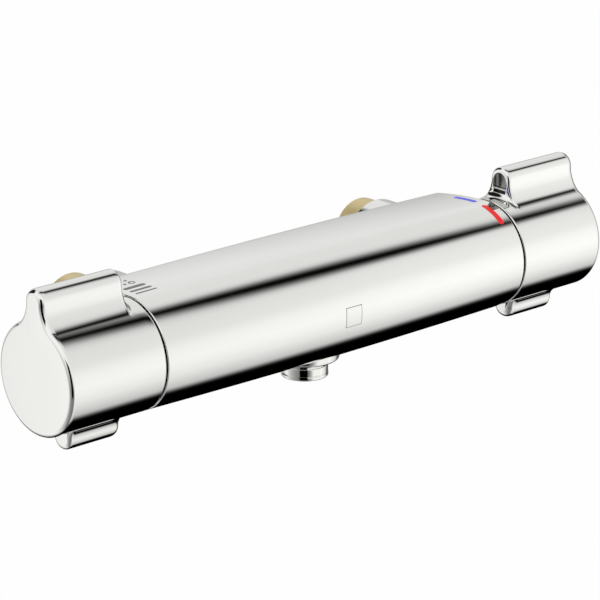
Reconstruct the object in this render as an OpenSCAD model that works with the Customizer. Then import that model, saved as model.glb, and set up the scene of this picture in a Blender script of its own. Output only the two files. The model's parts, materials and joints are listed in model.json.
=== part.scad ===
// Wall-mounted thermostatic shower mixer, in millimetres.
// +X runs along the bar to the temperature handle, +Y points to the wall, +Z is up.
// The origin lies midway between the mouths of the two wall inlets.
// Modules draw in the frame of the bar, whose axis runs through its own origin.
// The flow end is drawn on the +X side and mirrored to its place on the left.

/* [Bar] */
// Distance between the axes of the two wall inlets
wall_centres = 160; // [152:1:164]
// Distance between the axes of the two inlet bosses
boss_centres = 150; // [144:1:154]
// Outer diameter of the bar and of both handles
bar_d = 46.4; // [45.6:0.2:50]
// Length of the body between the two handles
body_len = 194.6; // [190:0.2:206]
// Depth of the flat top behind the axis of the bar
back_depth = 24.5; // [24.2:0.1:27]
// Radius of the long edges at the back of the body
back_edge_r = 2; // [1:0.1:4]
// Radius in plan of the body's rear ends
end_plan_r = 39; // [30:1:60]
// Distance behind the axis at which the rear ends begin to curve
end_plan_y = 1.5; // [0.5:0.1:4]
// Gap between the body and each handle
seam_gap = 0.5; // [0.3:0.1:1]

/* [Body passages] */
// Radial gap between the hub at each end of the body and the handle around it
hub_gap = 1.5; // [1:0.1:1.7]
// Length of the hub at each end of the body
hub_len = 4; // [3:0.2:5]
// Diameter of the cavity for the thermostatic cartridge
thermo_bore_d = 30.4; // [30:0.1:31]
// Depth of that cavity from the end of the body
thermo_bore_depth = 51.3; // [50.5:0.1:54]
// Diameter of the bore for the nose of the cartridge
nose_bore_d = 20.4; // [20:0.1:22]
// Depth of the nose bore beyond the cavity
nose_bore_depth = 12; // [11:0.2:16]
// Diameter of the cavity for the flow headwork
flow_bore_d = 26; // [25.8:0.1:27]
// Depth of that cavity from the end of the body
flow_bore_depth = 45.3; // [44:0.1:50]
// Diameter of the passage for mixed water along the axis
mixed_bore_d = 12; // [8:0.5:14]
// Diameter of the passage that brings hot water to the cartridge
hot_bore_d = 7.6; // [5:0.2:8]
// Distance of that passage behind the axis
hot_bore_y = 18.5; // [18:0.1:19]
// Diameter of the passage from the flow headwork to the outlet
outlet_bore_d = 7.6; // [6:0.1:7.8]
// Depth of that passage below the axis
outlet_bore_z = 12; // [11.6:0.1:12.2]

/* [Inlets] */
// Length of a connector from the face of its boss to its mouth
connector_len = 15.8; // [14.6:0.2:28]
// Diameter of the round bosses at the back of the body
boss_d = 35.6; // [34:0.2:38]
// Distance from the axis of the bar to the face of the bosses
boss_reach = 45.6; // [44.8:0.2:46.6]
// Diameter of the bore that takes the spigot of a connector
spigot_bore_d = 24.2; // [23.6:0.1:25]
// Depth of that bore
spigot_bore_depth = 12.6; // [12.2:0.1:13.4]
// Diameter of the bore that takes a check valve
valve_bore_d = 20; // [19.6:0.1:21]
// Free depth of that bore beyond the check valve
valve_room = 7.3; // [6.9:0.1:7.7]
// Diameter of the port from the cold inlet into the cavity
cold_port_d = 13; // [8:0.5:16]
// Outer diameter of the wall end of a connector
socket_d = 28.8; // [28.4:0.1:32]
// Bore of the inlet thread M26x1.5, at its crests
thread_bore_d = 24.38; // [24:0.02:25.4]
// Length of that thread
thread_len = 10; // [8:0.2:10.8]
// Diameter of the recess for the seal washer
washer_seat_d = 23; // [20:0.1:23.8]
// Depth of that recess
washer_seat_depth = 2; // [1.6:0.1:2.4]
// Hole through a connector
connector_hole_d = 14; // [9:0.5:14.5]
// Hole in the seal washer
washer_hole_d = 16; // [14:0.5:18]
// Diameter of the connector lock screw
lock_screw_d = 5; // [4:0.1:5.4]
// Distance from a boss's face to the axis of its lock screw
lock_screw_back = 3.4; // [3:0.1:3.8]
// Width across flats of the lock screw's key socket
lock_key = 2.5; // [2:0.1:3]
// Depth of that key socket
lock_key_depth = 2; // [1:0.1:2.6]
// Length of the lock screw's thread
lock_screw_len = 5; // [4.6:0.1:5.4]
// Depth of the lock groove in the spigot
lock_groove_depth = 1.2; // [0.6:0.1:1.8]
// Width of the lock groove
lock_groove_w = 3; // [2.6:0.1:3.4]
// Diameter of the lock screw's point
lock_point_d = 2.6; // [1.6:0.1:2.8]
// Length of the connector's O-ring land from the tip of its spigot
spigot_ring_y = 3.6; // [3:0.1:4.4]

/* [Check valves] */
// Thickness of a strainer disc
strainer_t = 0.8; // [0.5:0.1:1]
// Diameter of each hole in a strainer
strainer_hole_d = 2.2; // [1:0.1:2.6]
// Distance between the rings of holes in a strainer
strainer_pitch = 3; // [2.8:0.1:4]
// Length of a check valve's cage
cage_len = 10; // [9.6:0.1:10.4]
// Wall of the cage
cage_wall = 1.5; // [1:0.1:2]
// Thickness of the cage's seat and of its web
cage_plate_t = 1.5; // [1:0.1:1.8]
// Diameter of the four holes in the web
cage_web_hole_d = 3.8; // [2:0.1:4.4]
// Distance of these holes from the axis of the valve
cage_web_hole_at = 5.4; // [5:0.1:5.8]
// Diameter of the hole in the seat
seat_hole_d = 11; // [8:0.2:12]
// Diameter of the poppet's head
poppet_d = 13.6; // [12.6:0.1:14.4]
// Thickness of the poppet's head
poppet_t = 1.5; // [1:0.1:1.8]
// Diameter of the poppet's stem
poppet_stem_d = 3; // [2:0.1:3.4]
// Opening travel of the poppet
poppet_travel = 2.5; // [1.5:0.1:2.8]

/* [Outlet] */
// Distance of the outlet behind the axis of the bar
outlet_y = 7.6; // [7:0.1:8.2]
// Diameter of the outlet boss
outlet_boss_d = 29.1; // [26:0.1:32]
// Depth of the outlet boss below the axis
outlet_boss_z = 26.5; // [25.5:0.1:28]
// Diameter of the nipple's upper thread
nipple_top_d = 18; // [16:0.1:18.4]
// Height of the top of the nipple below the axis
nipple_top_z = 18.6; // [18.4:0.1:21]
// Diameter of the relief between boss and hose thread
nipple_relief_d = 17.6; // [15:0.1:18]
// Outer diameter of the hose thread G1/2
hose_thread_d = 20.955; // [20.6:0.005:21]
// Depth of the top of the hose thread below the axis
hose_thread_z = 28.9; // [28.4:0.1:30]
// Length of the hose thread
hose_thread_len = 3.7; // [3.2:0.1:6]
// Length of the chamfer below the thread
hose_chamfer_len = 1.7; // [1:0.1:2]
// Diameter at the end of that chamfer
hose_end_d = 17.6; // [16.6:0.1:18.6]
// Hole through the nipple
nipple_hole_d = 12; // [9:0.2:12.4]
// Width across flats of the key socket in the nipple
nipple_key = 12.4; // [12.2:0.1:13]
// Depth of that key socket
nipple_key_depth = 6; // [3:0.5:7]

/* [Handles] */
// Length of each handle
handle_len = 46.2; // [44.6:0.2:50]
// Thickness of the end wall of a handle
handle_end_t = 3.6; // [2:0.1:4.4]
// Thickness of the round wall of a handle
handle_wall_t = 3.7; // [3.2:0.1:3.8]
// Chamfer around the outer face
handle_chamfer = 1; // [0.4:0.1:1.2]
// Height of the top of the finger fin above the axis
fin_top = 35.9; // [35:0.1:38]
// Radius of the tip of the finger fin
fin_tip_r = 5.5; // [5.3:0.1:6.5]
// Radius of the hollow flanks of the finger fin
fin_flank_r = 14; // [10:0.5:18]
// Distance from the handle's inner edge to the finger fin
fin_start = 7.2; // [6.6:0.1:7.6]
// Depth of the low fin's tip below the axis
low_fin_top = 31.6; // [30.5:0.1:34]
// Radius of the tip of the low fin
low_fin_tip_r = 5.4; // [4:0.1:6]
// Radius of the hollow flanks of the low fin
low_fin_flank_r = 6; // [4:0.5:8]
// Distance from the handle's inner edge to the low fin
low_fin_start = 9.4; // [8:0.1:14]
// Length of the low fin
low_fin_len = 25.5; // [16:0.1:28]
// Radius of the low fin's inner end, seen from the side
low_fin_end_r = 3.5; // [1:0.1:5]
// Outer diameter of the socket inside a handle
socket_tube_d = 30; // [28:0.2:31]
// Distance from the handle's inner edge to that socket
socket_tube_start = 14.2; // [13.4:0.1:15]

/* [Stop buttons] */
// Half the width of the button's channel
channel_r = 3.95; // [3.6:0.05:4.1]
// Height of the floor of the channel above the axis
channel_floor = 27.3; // [26.8:0.1:27.8]
// Depth of the channel from the mouth
channel_depth = 22; // [20.4:0.2:26]
// Gap between a button and its channel
button_gap = 0.25; // [0.1:0.05:0.3]
// Distance of the button's face inside the mouth
button_inset = 1.3; // [0.6:0.1:1.6]
// Length of the button
button_len = 12.2; // [11.6:0.1:12.6]
// Depth of the hollow in the button's face
button_dish = 1.4; // [0.6:0.1:2]
// Radius of that hollow
button_dish_r = 12; // [10:0.5:16]
// Travel of the button
button_travel = 2.5; // [1.5:0.1:2.8]
// Width of the tongue below the button
tongue_w = 4.8; // [3:0.1:5]
// Thickness of the tongue
tongue_t = 3; // [2:0.1:3.2]
// Distance from the mouth to the tongue
tongue_start = 3.3; // [3.2:0.1:3.6]
// Height of the tongue's tip above the axis
tongue_tip = 16.9; // [16.6:0.1:17.4]
// Depth of the finger recess below the mouth
recess_depth = 1.5; // [0.8:0.1:2]
// Height of the finger recess
recess_h = 2.4; // [1.4:0.1:2.6]

/* [Handle fixing] */
// Thickness of a stop ring
stop_ring_t = 2.5; // [2:0.1:2.8]
// Inner diameter of a stop ring
stop_ring_hole_d = 31; // [31:0.1:32]
// Outer diameter of a stop ring
stop_ring_d = 37.2; // [36.6:0.1:38]
// Clearance between the stop lug and the tongue at rest
lug_gap = 0.3; // [0.2:0.05:0.6]
// Angle over which the stop lug reaches
lug_angle = 10; // [6:1:16]
// Angle from the flow handle's rest position to its stop lug
flow_lug_turn = 26; // [20:1:40]
// Angle from the temperature handle's rest position to its stop lug
thermo_lug_turn = 14; // [12:1:30]
// Outer diameter of an adapter
adapter_d = 23; // [22:0.1:24]
// Length of an adapter
adapter_len = 20.5; // [19.6:0.1:22]
// Thickness of the adapter's web under the screw head
adapter_web_t = 3; // [2:0.1:4]
// Diameter of both spindles
spindle_d = 11; // [10:0.1:11.4]
// Diameter of the handle screw's shank
screw_d = 4; // [3:0.1:4.4]
// Diameter of the handle screw's head
screw_head_d = 7.8; // [6:0.1:8.4]
// Height of the handle screw's head
screw_head_h = 2.6; // [2:0.1:3]
// Width across flats of the handle screw's key socket
screw_key = 3; // [2:0.1:3.4]
// Depth of that key socket
screw_key_depth = 1.6; // [1:0.1:2]
// Length of the handle screw's shank
screw_len = 12; // [9:0.5:13]
// Width of a snap ring
snap_ring_w = 1.2; // [0.8:0.1:1.6]
// Depth to which a snap ring enters the handle
snap_ring_bite = 0.7; // [0.4:0.1:1]
// Depth to which a snap ring enters the adapter
snap_groove_depth = 0.8; // [0.4:0.1:1]
// Opening of a snap ring
snap_opening = 5; // [3:0.5:8]
// Thickness of a circlip
circlip_t = 1; // [0.8:0.1:1.2]
// Width of a circlip around its spindle
circlip_w = 2; // [1.6:0.1:2.2]
// Depth of the circlip's groove
circlip_groove_depth = 0.6; // [0.4:0.1:0.8]
// Opening of a circlip
circlip_opening = 4; // [3:0.5:6]

/* [Flow headwork] */
// Radial gap between the headwork and its cavity
headwork_gap = 0.15; // [0.05:0.05:0.25]
// Outer diameter of the headwork's neck
flow_neck_d = 19; // [18:0.1:19.6]
// Diameter of the chamber that holds the ceramic discs
disc_chamber_d = 20; // [19.6:0.1:20.4]
// Diameter of the ceramic discs
disc_d = 19.4; // [18.6:0.1:19.5]
// Thickness of each ceramic disc
disc_t = 3; // [2.6:0.1:3.2]
// Angle of each opening in a disc
disc_port_angle = 80; // [50:5:85]
// Width of the spindle's drive bar
drive_w = 5; // [4:0.1:6]
// Thickness of the drive bar above the disc
drive_t = 3.2; // [2.4:0.1:3.6]
// Depth of the drive bar's slot in the disc
drive_slot = 1.2; // [0.8:0.1:1.6]
// Inner and outer wall of the openings in a disc
disc_rim = 2; // [1.6:0.1:2.4]
// Radius at which the openings in a disc begin
disc_port_r = 3; // [2.6:0.1:4]
// Width of the headwork's outlet windows
headwork_window = 7; // [5:0.5:9]
// Depth of the headwork's outlet groove
headwork_relief = 1.2; // [0.8:0.1:1.4]
// Thickness of the seat seal
seat_seal_t = 2.2; // [1.8:0.1:2.4]
// Diameter of the hole in the seat seal
seat_seal_hole_d = 13.2; // [12.4:0.1:15]
// Width across flats of the headwork's nut
flow_nut_key = 22; // [21:0.5:22]

/* [Thermostatic cartridge] */
// Radial gap between the cartridge and its cavity
cartridge_gap = 0.15; // [0.05:0.05:0.2]
// Diameter of the bore inside the cartridge
cartridge_bore_d = 21; // [20.6:0.1:21.4]
// Diameter of the bore inside the nose
nose_inner_d = 15.2; // [14.9:0.1:15.6]
// Distance from the cavity's bottom to the hot seat
hot_seat_x = 10; // [9.8:0.1:10.4]
// Opening at the hot seat with the handle at rest
hot_opening = 1.8; // [1.7:0.05:2]
// Length of the regulating piston
piston_len = 9.2; // [8.8:0.1:9.4]
// Opening at the cold seat with the handle at rest
cold_opening = 1.4; // [1.3:0.05:1.6]
// Radial running gap of the piston and the regulating nut
piston_gap = 0.08; // [0.03:0.01:0.1]
// Diameter of the wax element
wax_d = 8.8; // [7:0.1:9.4]
// Length of the wax element's case
wax_len = 30; // [26:0.5:32]
// Diameter of the cartridge cap's neck
thermo_neck_d = 19.4; // [18:0.1:20]
// Width of the cartridge's windows
cartridge_window = 6; // [4:0.5:7]
// Depth of the water grooves around the cartridge
cartridge_relief = 2; // [1.2:0.1:2.2]
// Diameter of the hole at the inner end of the nose
nose_hole_d = 12.4; // [9.6:0.1:13]
// Wall of the piston
piston_wall = 1.8; // [1.2:0.1:2.2]
// Thickness of the piston's web
piston_web_t = 2; // [1.4:0.1:2.4]
// Diameter of the six holes in the piston's web
piston_hole_d = 2.6; // [1.6:0.1:3]
// Distance of these holes from the axis
piston_hole_at = 6.5; // [6.3:0.1:6.8]
// Width of the wax element's collar
wax_collar_w = 0.6; // [0.4:0.1:0.7]
// Thickness of that collar
wax_collar_t = 1.2; // [0.8:0.1:1.6]
// Diameter of the wax element's pin
wax_pin_d = 3.2; // [2.4:0.1:4]
// Length of that pin at rest
wax_pin_len = 2.4; // [2:0.1:2.6]
// Diameter of the overload cup
cup_d = 14.8; // [14:0.1:15]
// Diameter of the overload cup's nose
cup_nose_d = 6; // [4:0.1:8]
// Length of that nose
cup_nose_len = 1.2; // [0.8:0.1:1.4]
// Thickness of the overload cup
cup_t = 2.6; // [1.8:0.1:2.8]
// Thickness of the flange on the temperature spindle
flange_t = 2.9; // [2:0.1:3]
// Diameter of that flange
flange_d = 16; // [14:0.1:18]
// Thickness of the cold seat ring
cold_seat_t = 2.6; // [2:0.1:2.8]
// Width across flats of the cartridge's nut
thermo_nut_key = 26; // [25:0.5:26]
// Diameter of the screw on the temperature spindle
spindle_screw_d = 9; // [8:0.1:9.6]

/* [Seals] */
// Section of the large O-rings
ring_cs = 2.4; // [1.8:0.1:2.6]
// Section of the O-rings on the spindles and on the cartridge's nose
small_ring_cs = 1.6; // [1.2:0.1:1.7]
// Gap of an O-ring in its groove
ring_gap = 0.05; // [0.02:0.01:0.1]

/* [Springs] */
// Outer diameter of a check valve spring
valve_spring_d = 7; // [5:0.1:9]
// Wire of a check valve spring
valve_spring_wire = 0.8; // [0.4:0.1:0.9]
// Outer diameter of a button spring
button_spring_d = 4.5; // [3.6:0.1:4.6]
// Wire of a button spring
button_spring_wire = 0.7; // [0.4:0.1:0.8]
// Outer diameter of the return spring
return_spring_d = 14.7; // [13:0.1:14.8]
// Wire of the return spring
return_spring_wire = 1.1; // [0.8:0.1:1.4]
// Outer diameter of the overload spring
overload_spring_d = 14.2; // [13:0.1:14.6]
// Wire of the overload spring
overload_spring_wire = 1; // [0.6:0.1:1]
// Diameter of the pocket for the button's spring
spring_pocket_d = 4.8; // [4.7:0.1:5.4]
// Depth of that pocket
spring_pocket_depth = 2; // [1:0.5:4]

/* [Marks] */
// Width of the red and blue marks
mark_w = 2.8; // [2:0.1:3.4]
// Distance from the end of the body to the middle of these marks
mark_inset = 5.6; // [4.6:0.1:6.4]
// Depth of all marks in the surface
mark_depth = 0.4; // [0.2:0.05:0.8]
// Angle from the vertical at which the red mark begins
red_start = 9; // [4:1:14]
// Angle at which it ends
red_end = 43; // [30:1:60]
// Distance behind the axis at which the blue mark begins
blue_start = 0.8; // [0.6:0.1:3]
// Distance behind the axis at which it ends
blue_end = 12.4; // [8:0.1:16]
// Distance from the end of the body to the flow bars
bar_inset = 3.4; // [3:0.1:6]
// Length of the flow bars
bar_len = 10.8; // [6:0.1:14]
// Distance of the thin flow bar behind the axis
thin_bar_y = 0.9; // [0.6:0.1:1.4]
// Width of the thin flow bar
thin_bar_w = 1; // [0.6:0.1:1.2]
// Distance of the middle flow bar behind the axis
mid_bar_y = 4.3; // [3.6:0.1:4.8]
// Width of the middle flow bar
mid_bar_w = 1.6; // [1.2:0.1:1.8]
// Distance of the thick flow bar behind the axis
thick_bar_y = 8.3; // [7.6:0.1:9]
// Width of the thick flow bar
thick_bar_w = 2.3; // [1.8:0.1:2.6]
// Distance of the economy ring and dots behind the axis
eco_y = 13.3; // [12.6:0.1:14]
// Outer radius of the economy ring
eco_ring_r = 1.5; // [1.2:0.1:1.8]
// Width of the economy ring
eco_ring_w = 0.6; // [0.4:0.1:0.8]
// Radius of the economy dots
eco_dot_r = 0.7; // [0.4:0.1:0.9]
// Size of the square badge
badge_w = 8.6; // [6:0.1:12]
// Distance of the badge to the left of the middle
badge_x = 1; // [0:0.1:3]
// Angle of the badge below the front of the bar
badge_drop = 2.7; // [0:0.1:6]
// Size of the pointer pad along the bar
pointer_w = 3; // [2:0.1:3.4]
// Angle over which the pointer pad reaches
pointer_angle = 22; // [14:1:28]
// Distance from the handle's inner edge to the pointer pad
pointer_start = 0.8; // [0.6:0.1:2]

/* [Hidden] */
$fn = 96;
eps = 0.01;
over = 1;
bar_r = bar_d / 2;
cavity_r = bar_r - handle_wall_t;
hub_r = cavity_r - hub_gap;
inlet_reach = boss_reach + connector_len;
body_end = body_len / 2;
hub_end = body_end + hub_len;
boss_x = boss_centres / 2;
wall_x = wall_centres / 2;
end_plan_x = body_end - end_plan_r;
fit_gap = 0.1;
strainer_gap = 0.2;
mark_gap = 0.02;
mark_proud = 0.05;

// Handle stations along the bar
handle_in = body_end + seam_gap;
handle_out = handle_in + handle_len;
cavity_end = handle_out - handle_end_t;
fin_x = handle_in + fin_start;
low_fin_x = handle_in + low_fin_start;
tube_x = handle_in + socket_tube_start;
channel_end = fin_x + channel_depth;
channel_mid = fin_top - (fin_tip_r - channel_r) + 0.15 - channel_r;
slot_x = fin_x + tongue_start - button_gap;
slot_end = fin_x + tongue_start + tongue_t + button_travel + button_gap;

// Stop button stations
button_x = fin_x + button_inset;
button_end = button_x + button_len;
button_r = channel_r - button_gap;
tongue_x = fin_x + tongue_start;
tongue_root = channel_floor + button_gap + 0.4;

// Adapter, screw and snap ring stations
stop_ring_x = hub_end;
lug_x = stop_ring_x + stop_ring_t;
spindle_reach = 11.7;
adapter_start = 4.2;
adapter_web_gap = 0.5;
snap_back = 6;
circlip_start = 2.4;
neck_reach = 2.2;
spindle_ring_back = 2.3;
spindle_ring_pitch = 4;
spindle_end = hub_end + spindle_reach;
neck_end = hub_end + neck_reach;
adapter_x = hub_end + adapter_start;
adapter_web_x = spindle_end + adapter_web_gap;
adapter_end = adapter_x + adapter_len;
snap_x = adapter_end - snap_back;
snap_inner_r = adapter_d / 2 - snap_groove_depth;
snap_outer_r = adapter_d / 2 + fit_gap + snap_ring_bite;
screw_hole_d = screw_d + 0.1;
circlip_x = hub_end + circlip_start;

// Flow headwork stations, drawn on the +X side
flow_bottom = body_end - flow_bore_depth;
headwork_r = flow_bore_d / 2 - headwork_gap;
headwork_start = 0.6;
chamber_room = 2.4;
flow_nut_depth = 9.3;
flow_ring_at = 20;
relief_lead = 2;
relief_len = 10;
nut_gap = 0.2;
nut_hex_start = 0.6;
headwork_x = flow_bottom + headwork_start;
fixed_disc_x = flow_bottom + seat_seal_t;
moving_disc_x = fixed_disc_x + disc_t;
drive_x = moving_disc_x + disc_t;
chamber_end = drive_x + drive_t + chamber_room;
flow_shoulder = body_end - flow_nut_depth;
flow_ring_x = flow_bottom + flow_ring_at;
relief_x0 = drive_x - relief_lead;
relief_x1 = relief_x0 + relief_len;
nut_end = hub_end;
nut_hex_x = body_end + nut_hex_start;
nut_x = flow_shoulder + nut_gap;

// Thermostatic cartridge stations
thermo_bottom = body_end - thermo_bore_depth;
nose_bottom = thermo_bottom - nose_bore_depth;
cartridge_r = thermo_bore_d / 2 - cartridge_gap;
nose_r = nose_bore_d / 2 - cartridge_gap;
housing_start = 0.3;
nose_start = 0.8;
cap_depth = 6;
cap_t = 1.7;
piston_web_at = 3.2;
wax_past_seat = 3.6;
reg_nut_start = 0.5;
reg_nut_back = 4.9;
reg_nut_web = 3.8;
hot_port_at = 8;
zone_start = 2;
hot_zone_reach = 5;
zone_land = 4;
cold_zone_back = 5.3;
flange_back = 3.3;
return_seat_at = 2.2;
nose_ring_at = 6;
housing_x = thermo_bottom + housing_start;
nose_x = nose_bottom + nose_start;
seat_x = thermo_bottom + hot_seat_x;
piston_x = seat_x + hot_opening;
piston_end = piston_x + piston_len;
cold_seat_x = piston_end + cold_opening;
cap_x = body_end - cap_depth;
piston_web_x = piston_x + piston_web_at;
wax_end = cold_seat_x + wax_past_seat;
wax_x = wax_end - wax_len;
cup_x = wax_end + wax_pin_len;
reg_nut_x = cup_x + reg_nut_start;
reg_nut_end = cap_x - reg_nut_back;
reg_recess_r = cup_d / 2 + 0.2;
hot_port_x = thermo_bottom + hot_port_at;
hot_zone_x = thermo_bottom + zone_start;
hot_zone_end = seat_x + hot_zone_reach;
cold_zone_x = hot_zone_end + zone_land;
cold_zone_end = cap_x - cold_zone_back;
flange_x = cap_x - flange_back;
return_seat_x = nose_x + return_seat_at;
ring_x_nose = nose_x + nose_ring_at;
ring_x_mid = (hot_zone_end + cold_zone_x) / 2;
ring_x_end = (cold_zone_end + cap_x) / 2;

// Inlet stations along Y, measured from the axis of the bar
spigot_tip = boss_reach - spigot_bore_depth + strainer_t + strainer_gap;
strainer_y = boss_reach - spigot_bore_depth;
cage_y = strainer_y - cage_len - strainer_gap;
valve_bore_y = cage_y - valve_room;
seat_y = cage_y + cage_len - cage_plate_t;
spigot_r = spigot_bore_d / 2 - fit_gap;
thread_y = inlet_reach - thread_len;
washer_y = thread_y - washer_seat_depth;
lock_y = boss_reach - lock_screw_back;
spigot_ring_at = spigot_tip + spigot_ring_y;

// Outlet heights
hose_thread_end = hose_thread_z + hose_thread_len;
nipple_end = hose_thread_end + hose_chamfer_len;
outlet_roof_z = outlet_bore_z - outlet_bore_d / 4;
outlet_step_z = nipple_top_z - ring_cs - 0.1;

// Frames and primitives

// Moves a piece from the frame of the bar to the frame of the part
module placed() {
    translate([0, -inlet_reach, 0]) children();
}

// The same for the flow end, which is a mirror image
module placed_left() {
    placed() mirror([1, 0, 0]) children();
}

// Round bar along X
module rod(r, x0, x1, y = 0, z = 0) {
    translate([x0, y, z]) rotate([0, 90, 0]) cylinder(r = r, h = x1 - x0);
}

// Cone along X
module cone_x(r0, r1, x0, x1, y = 0, z = 0) {
    translate([x0, y, z]) rotate([0, 90, 0]) cylinder(r1 = r0, r2 = r1, h = x1 - x0);
}

// Tube along X
module tube(r_out, r_in, x0, x1) {
    difference() {
        rod(r_out, x0, x1);
        rod(r_in, x0 - over, x1 + over);
    }
}

// Round bar along Y
module rod_y(r, y0, y1, x = 0, z = 0) {
    translate([x, y0, z]) rotate([-90, 0, 0]) cylinder(r = r, h = y1 - y0);
}

// Round bar downwards from z0 to z1, both given as depths below the axis
module rod_down(r, z0, z1, x = 0, y = 0) {
    translate([x, y, -z1]) cylinder(r = r, h = z1 - z0);
}

// Extrudes an outline in Y and Z along X
module extrude_x(x0, x1) {
    translate([x0, 0, 0]) rotate([90, 0, 90]) linear_extrude(x1 - x0) children();
}

// O-ring along X that seals against a bore of radius bore_r
module seal_ring(x, bore_r, cs) {
    translate([x, 0, 0]) rotate([0, 90, 0]) rotate_extrude()
        translate([bore_r - cs / 2 - ring_gap, 0]) circle(d = cs, $fn = 24);
}

// Groove for that O-ring
module seal_groove(x, bore_r, cs) {
    tube(bore_r + over, bore_r - cs - 2 * ring_gap, x - cs * 0.6, x + cs * 0.6);
}

// Coil spring of outer diameter d along +Z from z = 0, one wire that winds about the axis
module coil_spring(d, wire, len, turns) {
    wire_r = wire / 2;
    coil_r = d / 2 - wire_r;
    per_turn = 10;
    sides = 6;
    rings = turns * per_turn;
    climb = (len - 2 * wire_r) / rings;
    points = [
        for (i = [0:rings], j = [0:sides - 1])
            let (turn = i * 360 / per_turn, a = j * 360 / sides, r = coil_r + wire_r * cos(a))
                [r * cos(turn), r * sin(turn), wire_r + climb * i + wire_r * sin(a)]
    ];
    walls = [
        for (i = [0:rings - 1], j = [0:sides - 1])
            let (a = i * sides + j, b = i * sides + (j + 1) % sides)
                each [[a, a + sides, b + sides], [a, b + sides, b]]
    ];
    first = [for (j = [0:sides - 1]) j];
    last = [for (j = [sides - 1:-1:0]) rings * sides + j];
    polyhedron(points, concat([first], walls, [last]));
}

module spring_x(d, wire, x0, x1, turns, z = 0) {
    translate([x0, 0, z]) rotate([0, 90, 0]) coil_spring(d, wire, x1 - x0, turns);
}

// Body

// Plan of the bar, with its rounded rear ends
module body_plan() {
    translate([-body_end, -bar_r - over]) square([body_len, bar_r + over + end_plan_y]);
    translate([-end_plan_x, 0]) square([2 * end_plan_x, back_depth]);
    for (s = [-1, 1]) translate([s * end_plan_x, end_plan_y]) circle(end_plan_r);
}

// Flat-topped section behind the axis
module back_section() {
    half = bar_r - back_edge_r;
    translate([0, -bar_r]) square([back_depth - back_edge_r, bar_d]);
    translate([0, -half]) square([back_depth, 2 * half]);
    for (s = [-1, 1]) translate([back_depth - back_edge_r, s * half]) circle(back_edge_r);
}

module body_outside() {
    rod(bar_r, -body_end, body_end);
    intersection() {
        extrude_x(-body_end, body_end) back_section();
        translate([0, 0, -bar_r - over]) linear_extrude(bar_d + 2 * over) body_plan();
    }
    rod(hub_r, -hub_end, hub_end);
    for (s = [-1, 1]) rod_y(boss_d / 2, back_depth - over, boss_reach, s * boss_x);
    rod_down(outlet_boss_d / 2, outlet_boss_z - 8, outlet_boss_z, 0, outlet_y);
}

module inlet_bores() {
    for (s = [-1, 1]) {
        rod_y(valve_bore_d / 2, valve_bore_y, boss_reach, s * boss_x);
        rod_y(spigot_bore_d / 2, strainer_y, boss_reach + over, s * boss_x);
        translate([s * boss_x, lock_y, -boss_d / 2 - over])
            cylinder(d = lock_screw_d + 0.1, h = boss_d / 2 + over - spigot_r);
    }
    rod_y(cold_port_d / 2, 5, valve_bore_y + over, boss_x);
    rod(hot_bore_d / 2, -boss_x, hot_port_x, hot_bore_y);
    rod_y(hot_bore_d / 2, 5, hot_bore_y, hot_port_x);
}

module cartridge_bores() {
    rod(thermo_bore_d / 2, thermo_bottom, hub_end + over);
    rod(nose_bore_d / 2, nose_bottom, thermo_bottom + over);
    rod(flow_bore_d / 2, -hub_end - over, -flow_bottom);
    rod(mixed_bore_d / 2, -flow_bottom - over, nose_bottom + over);
}

module outlet_bores() {
    rod(outlet_bore_d / 2, -relief_x1 + 1, 0, outlet_y, -outlet_bore_z);
    rod_down(nipple_hole_d / 2, outlet_roof_z, outlet_boss_z, 0, outlet_y);
    rod_down(nipple_top_d / 2 + fit_gap, outlet_step_z, outlet_boss_z + over, 0, outlet_y);
}

// Room for a mark that lies in a round surface, from angle a0 to a1 forward of the vertical
module round_mark(x0, x1, a0, a1, r_out, r_in) {
    reach = r_out + 4;
    intersection() {
        tube(r_out, r_in, x0, x1);
        extrude_x(x0 - over, x1 + over)
            polygon([[0, 0], [-reach * sin(a0), reach * cos(a0)], [-reach * sin(a1), reach * cos(a1)]]);
    }
}

module red_shape(grow) {
    mid = body_end - mark_inset;
    round_mark(mid - mark_w / 2 - grow, mid + mark_w / 2 + grow, red_start, red_end,
        bar_r + mark_proud + grow, bar_r - mark_depth - grow);
}

module blue_shape(grow) {
    mid_r = end_plan_r - mark_inset;
    translate([0, 0, bar_r - mark_depth - grow]) linear_extrude(mark_depth + mark_proud + 2 * grow)
        intersection() {
            translate([end_plan_x, end_plan_y]) difference() {
                circle(mid_r + mark_w / 2 + grow);
                circle(mid_r - mark_w / 2 - grow);
            }
            translate([end_plan_x, blue_start - grow]) square([end_plan_r, blue_end - blue_start + 2 * grow]);
        }
}

// Three bars with a ring and two dots behind them
module flow_mark_shape(grow) {
    x0 = -body_end + bar_inset;
    bars = [[thin_bar_y, thin_bar_w], [mid_bar_y, mid_bar_w], [thick_bar_y, thick_bar_w]];
    ring_x = x0 + bar_len * 0.74;
    translate([0, 0, bar_r - mark_depth - grow]) linear_extrude(mark_depth + mark_proud + 2 * grow) {
        for (b = bars)
            translate([x0 - grow, b[0] - b[1] / 2 - grow]) square([bar_len + 2 * grow, b[1] + 2 * grow]);
        translate([ring_x, eco_y]) difference() {
            circle(eco_ring_r + grow);
            circle(eco_ring_r - eco_ring_w - grow);
        }
        translate([ring_x - 3.4, eco_y]) circle(eco_dot_r + grow);
        translate([ring_x - 0.4, eco_y + 3.6]) circle(eco_dot_r + grow);
    }
}

module badge_shape(grow) {
    half = badge_w / bar_r * 90 / PI;
    round_mark(-badge_x - badge_w / 2 - grow, -badge_x + badge_w / 2 + grow,
        90 + badge_drop - half, 90 + badge_drop + half, bar_r + mark_proud + grow, bar_r - mark_depth - grow);
}

module mark_pockets() {
    red_shape(mark_gap);
    blue_shape(mark_gap);
    flow_mark_shape(mark_gap);
    badge_shape(mark_gap);
}

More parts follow.
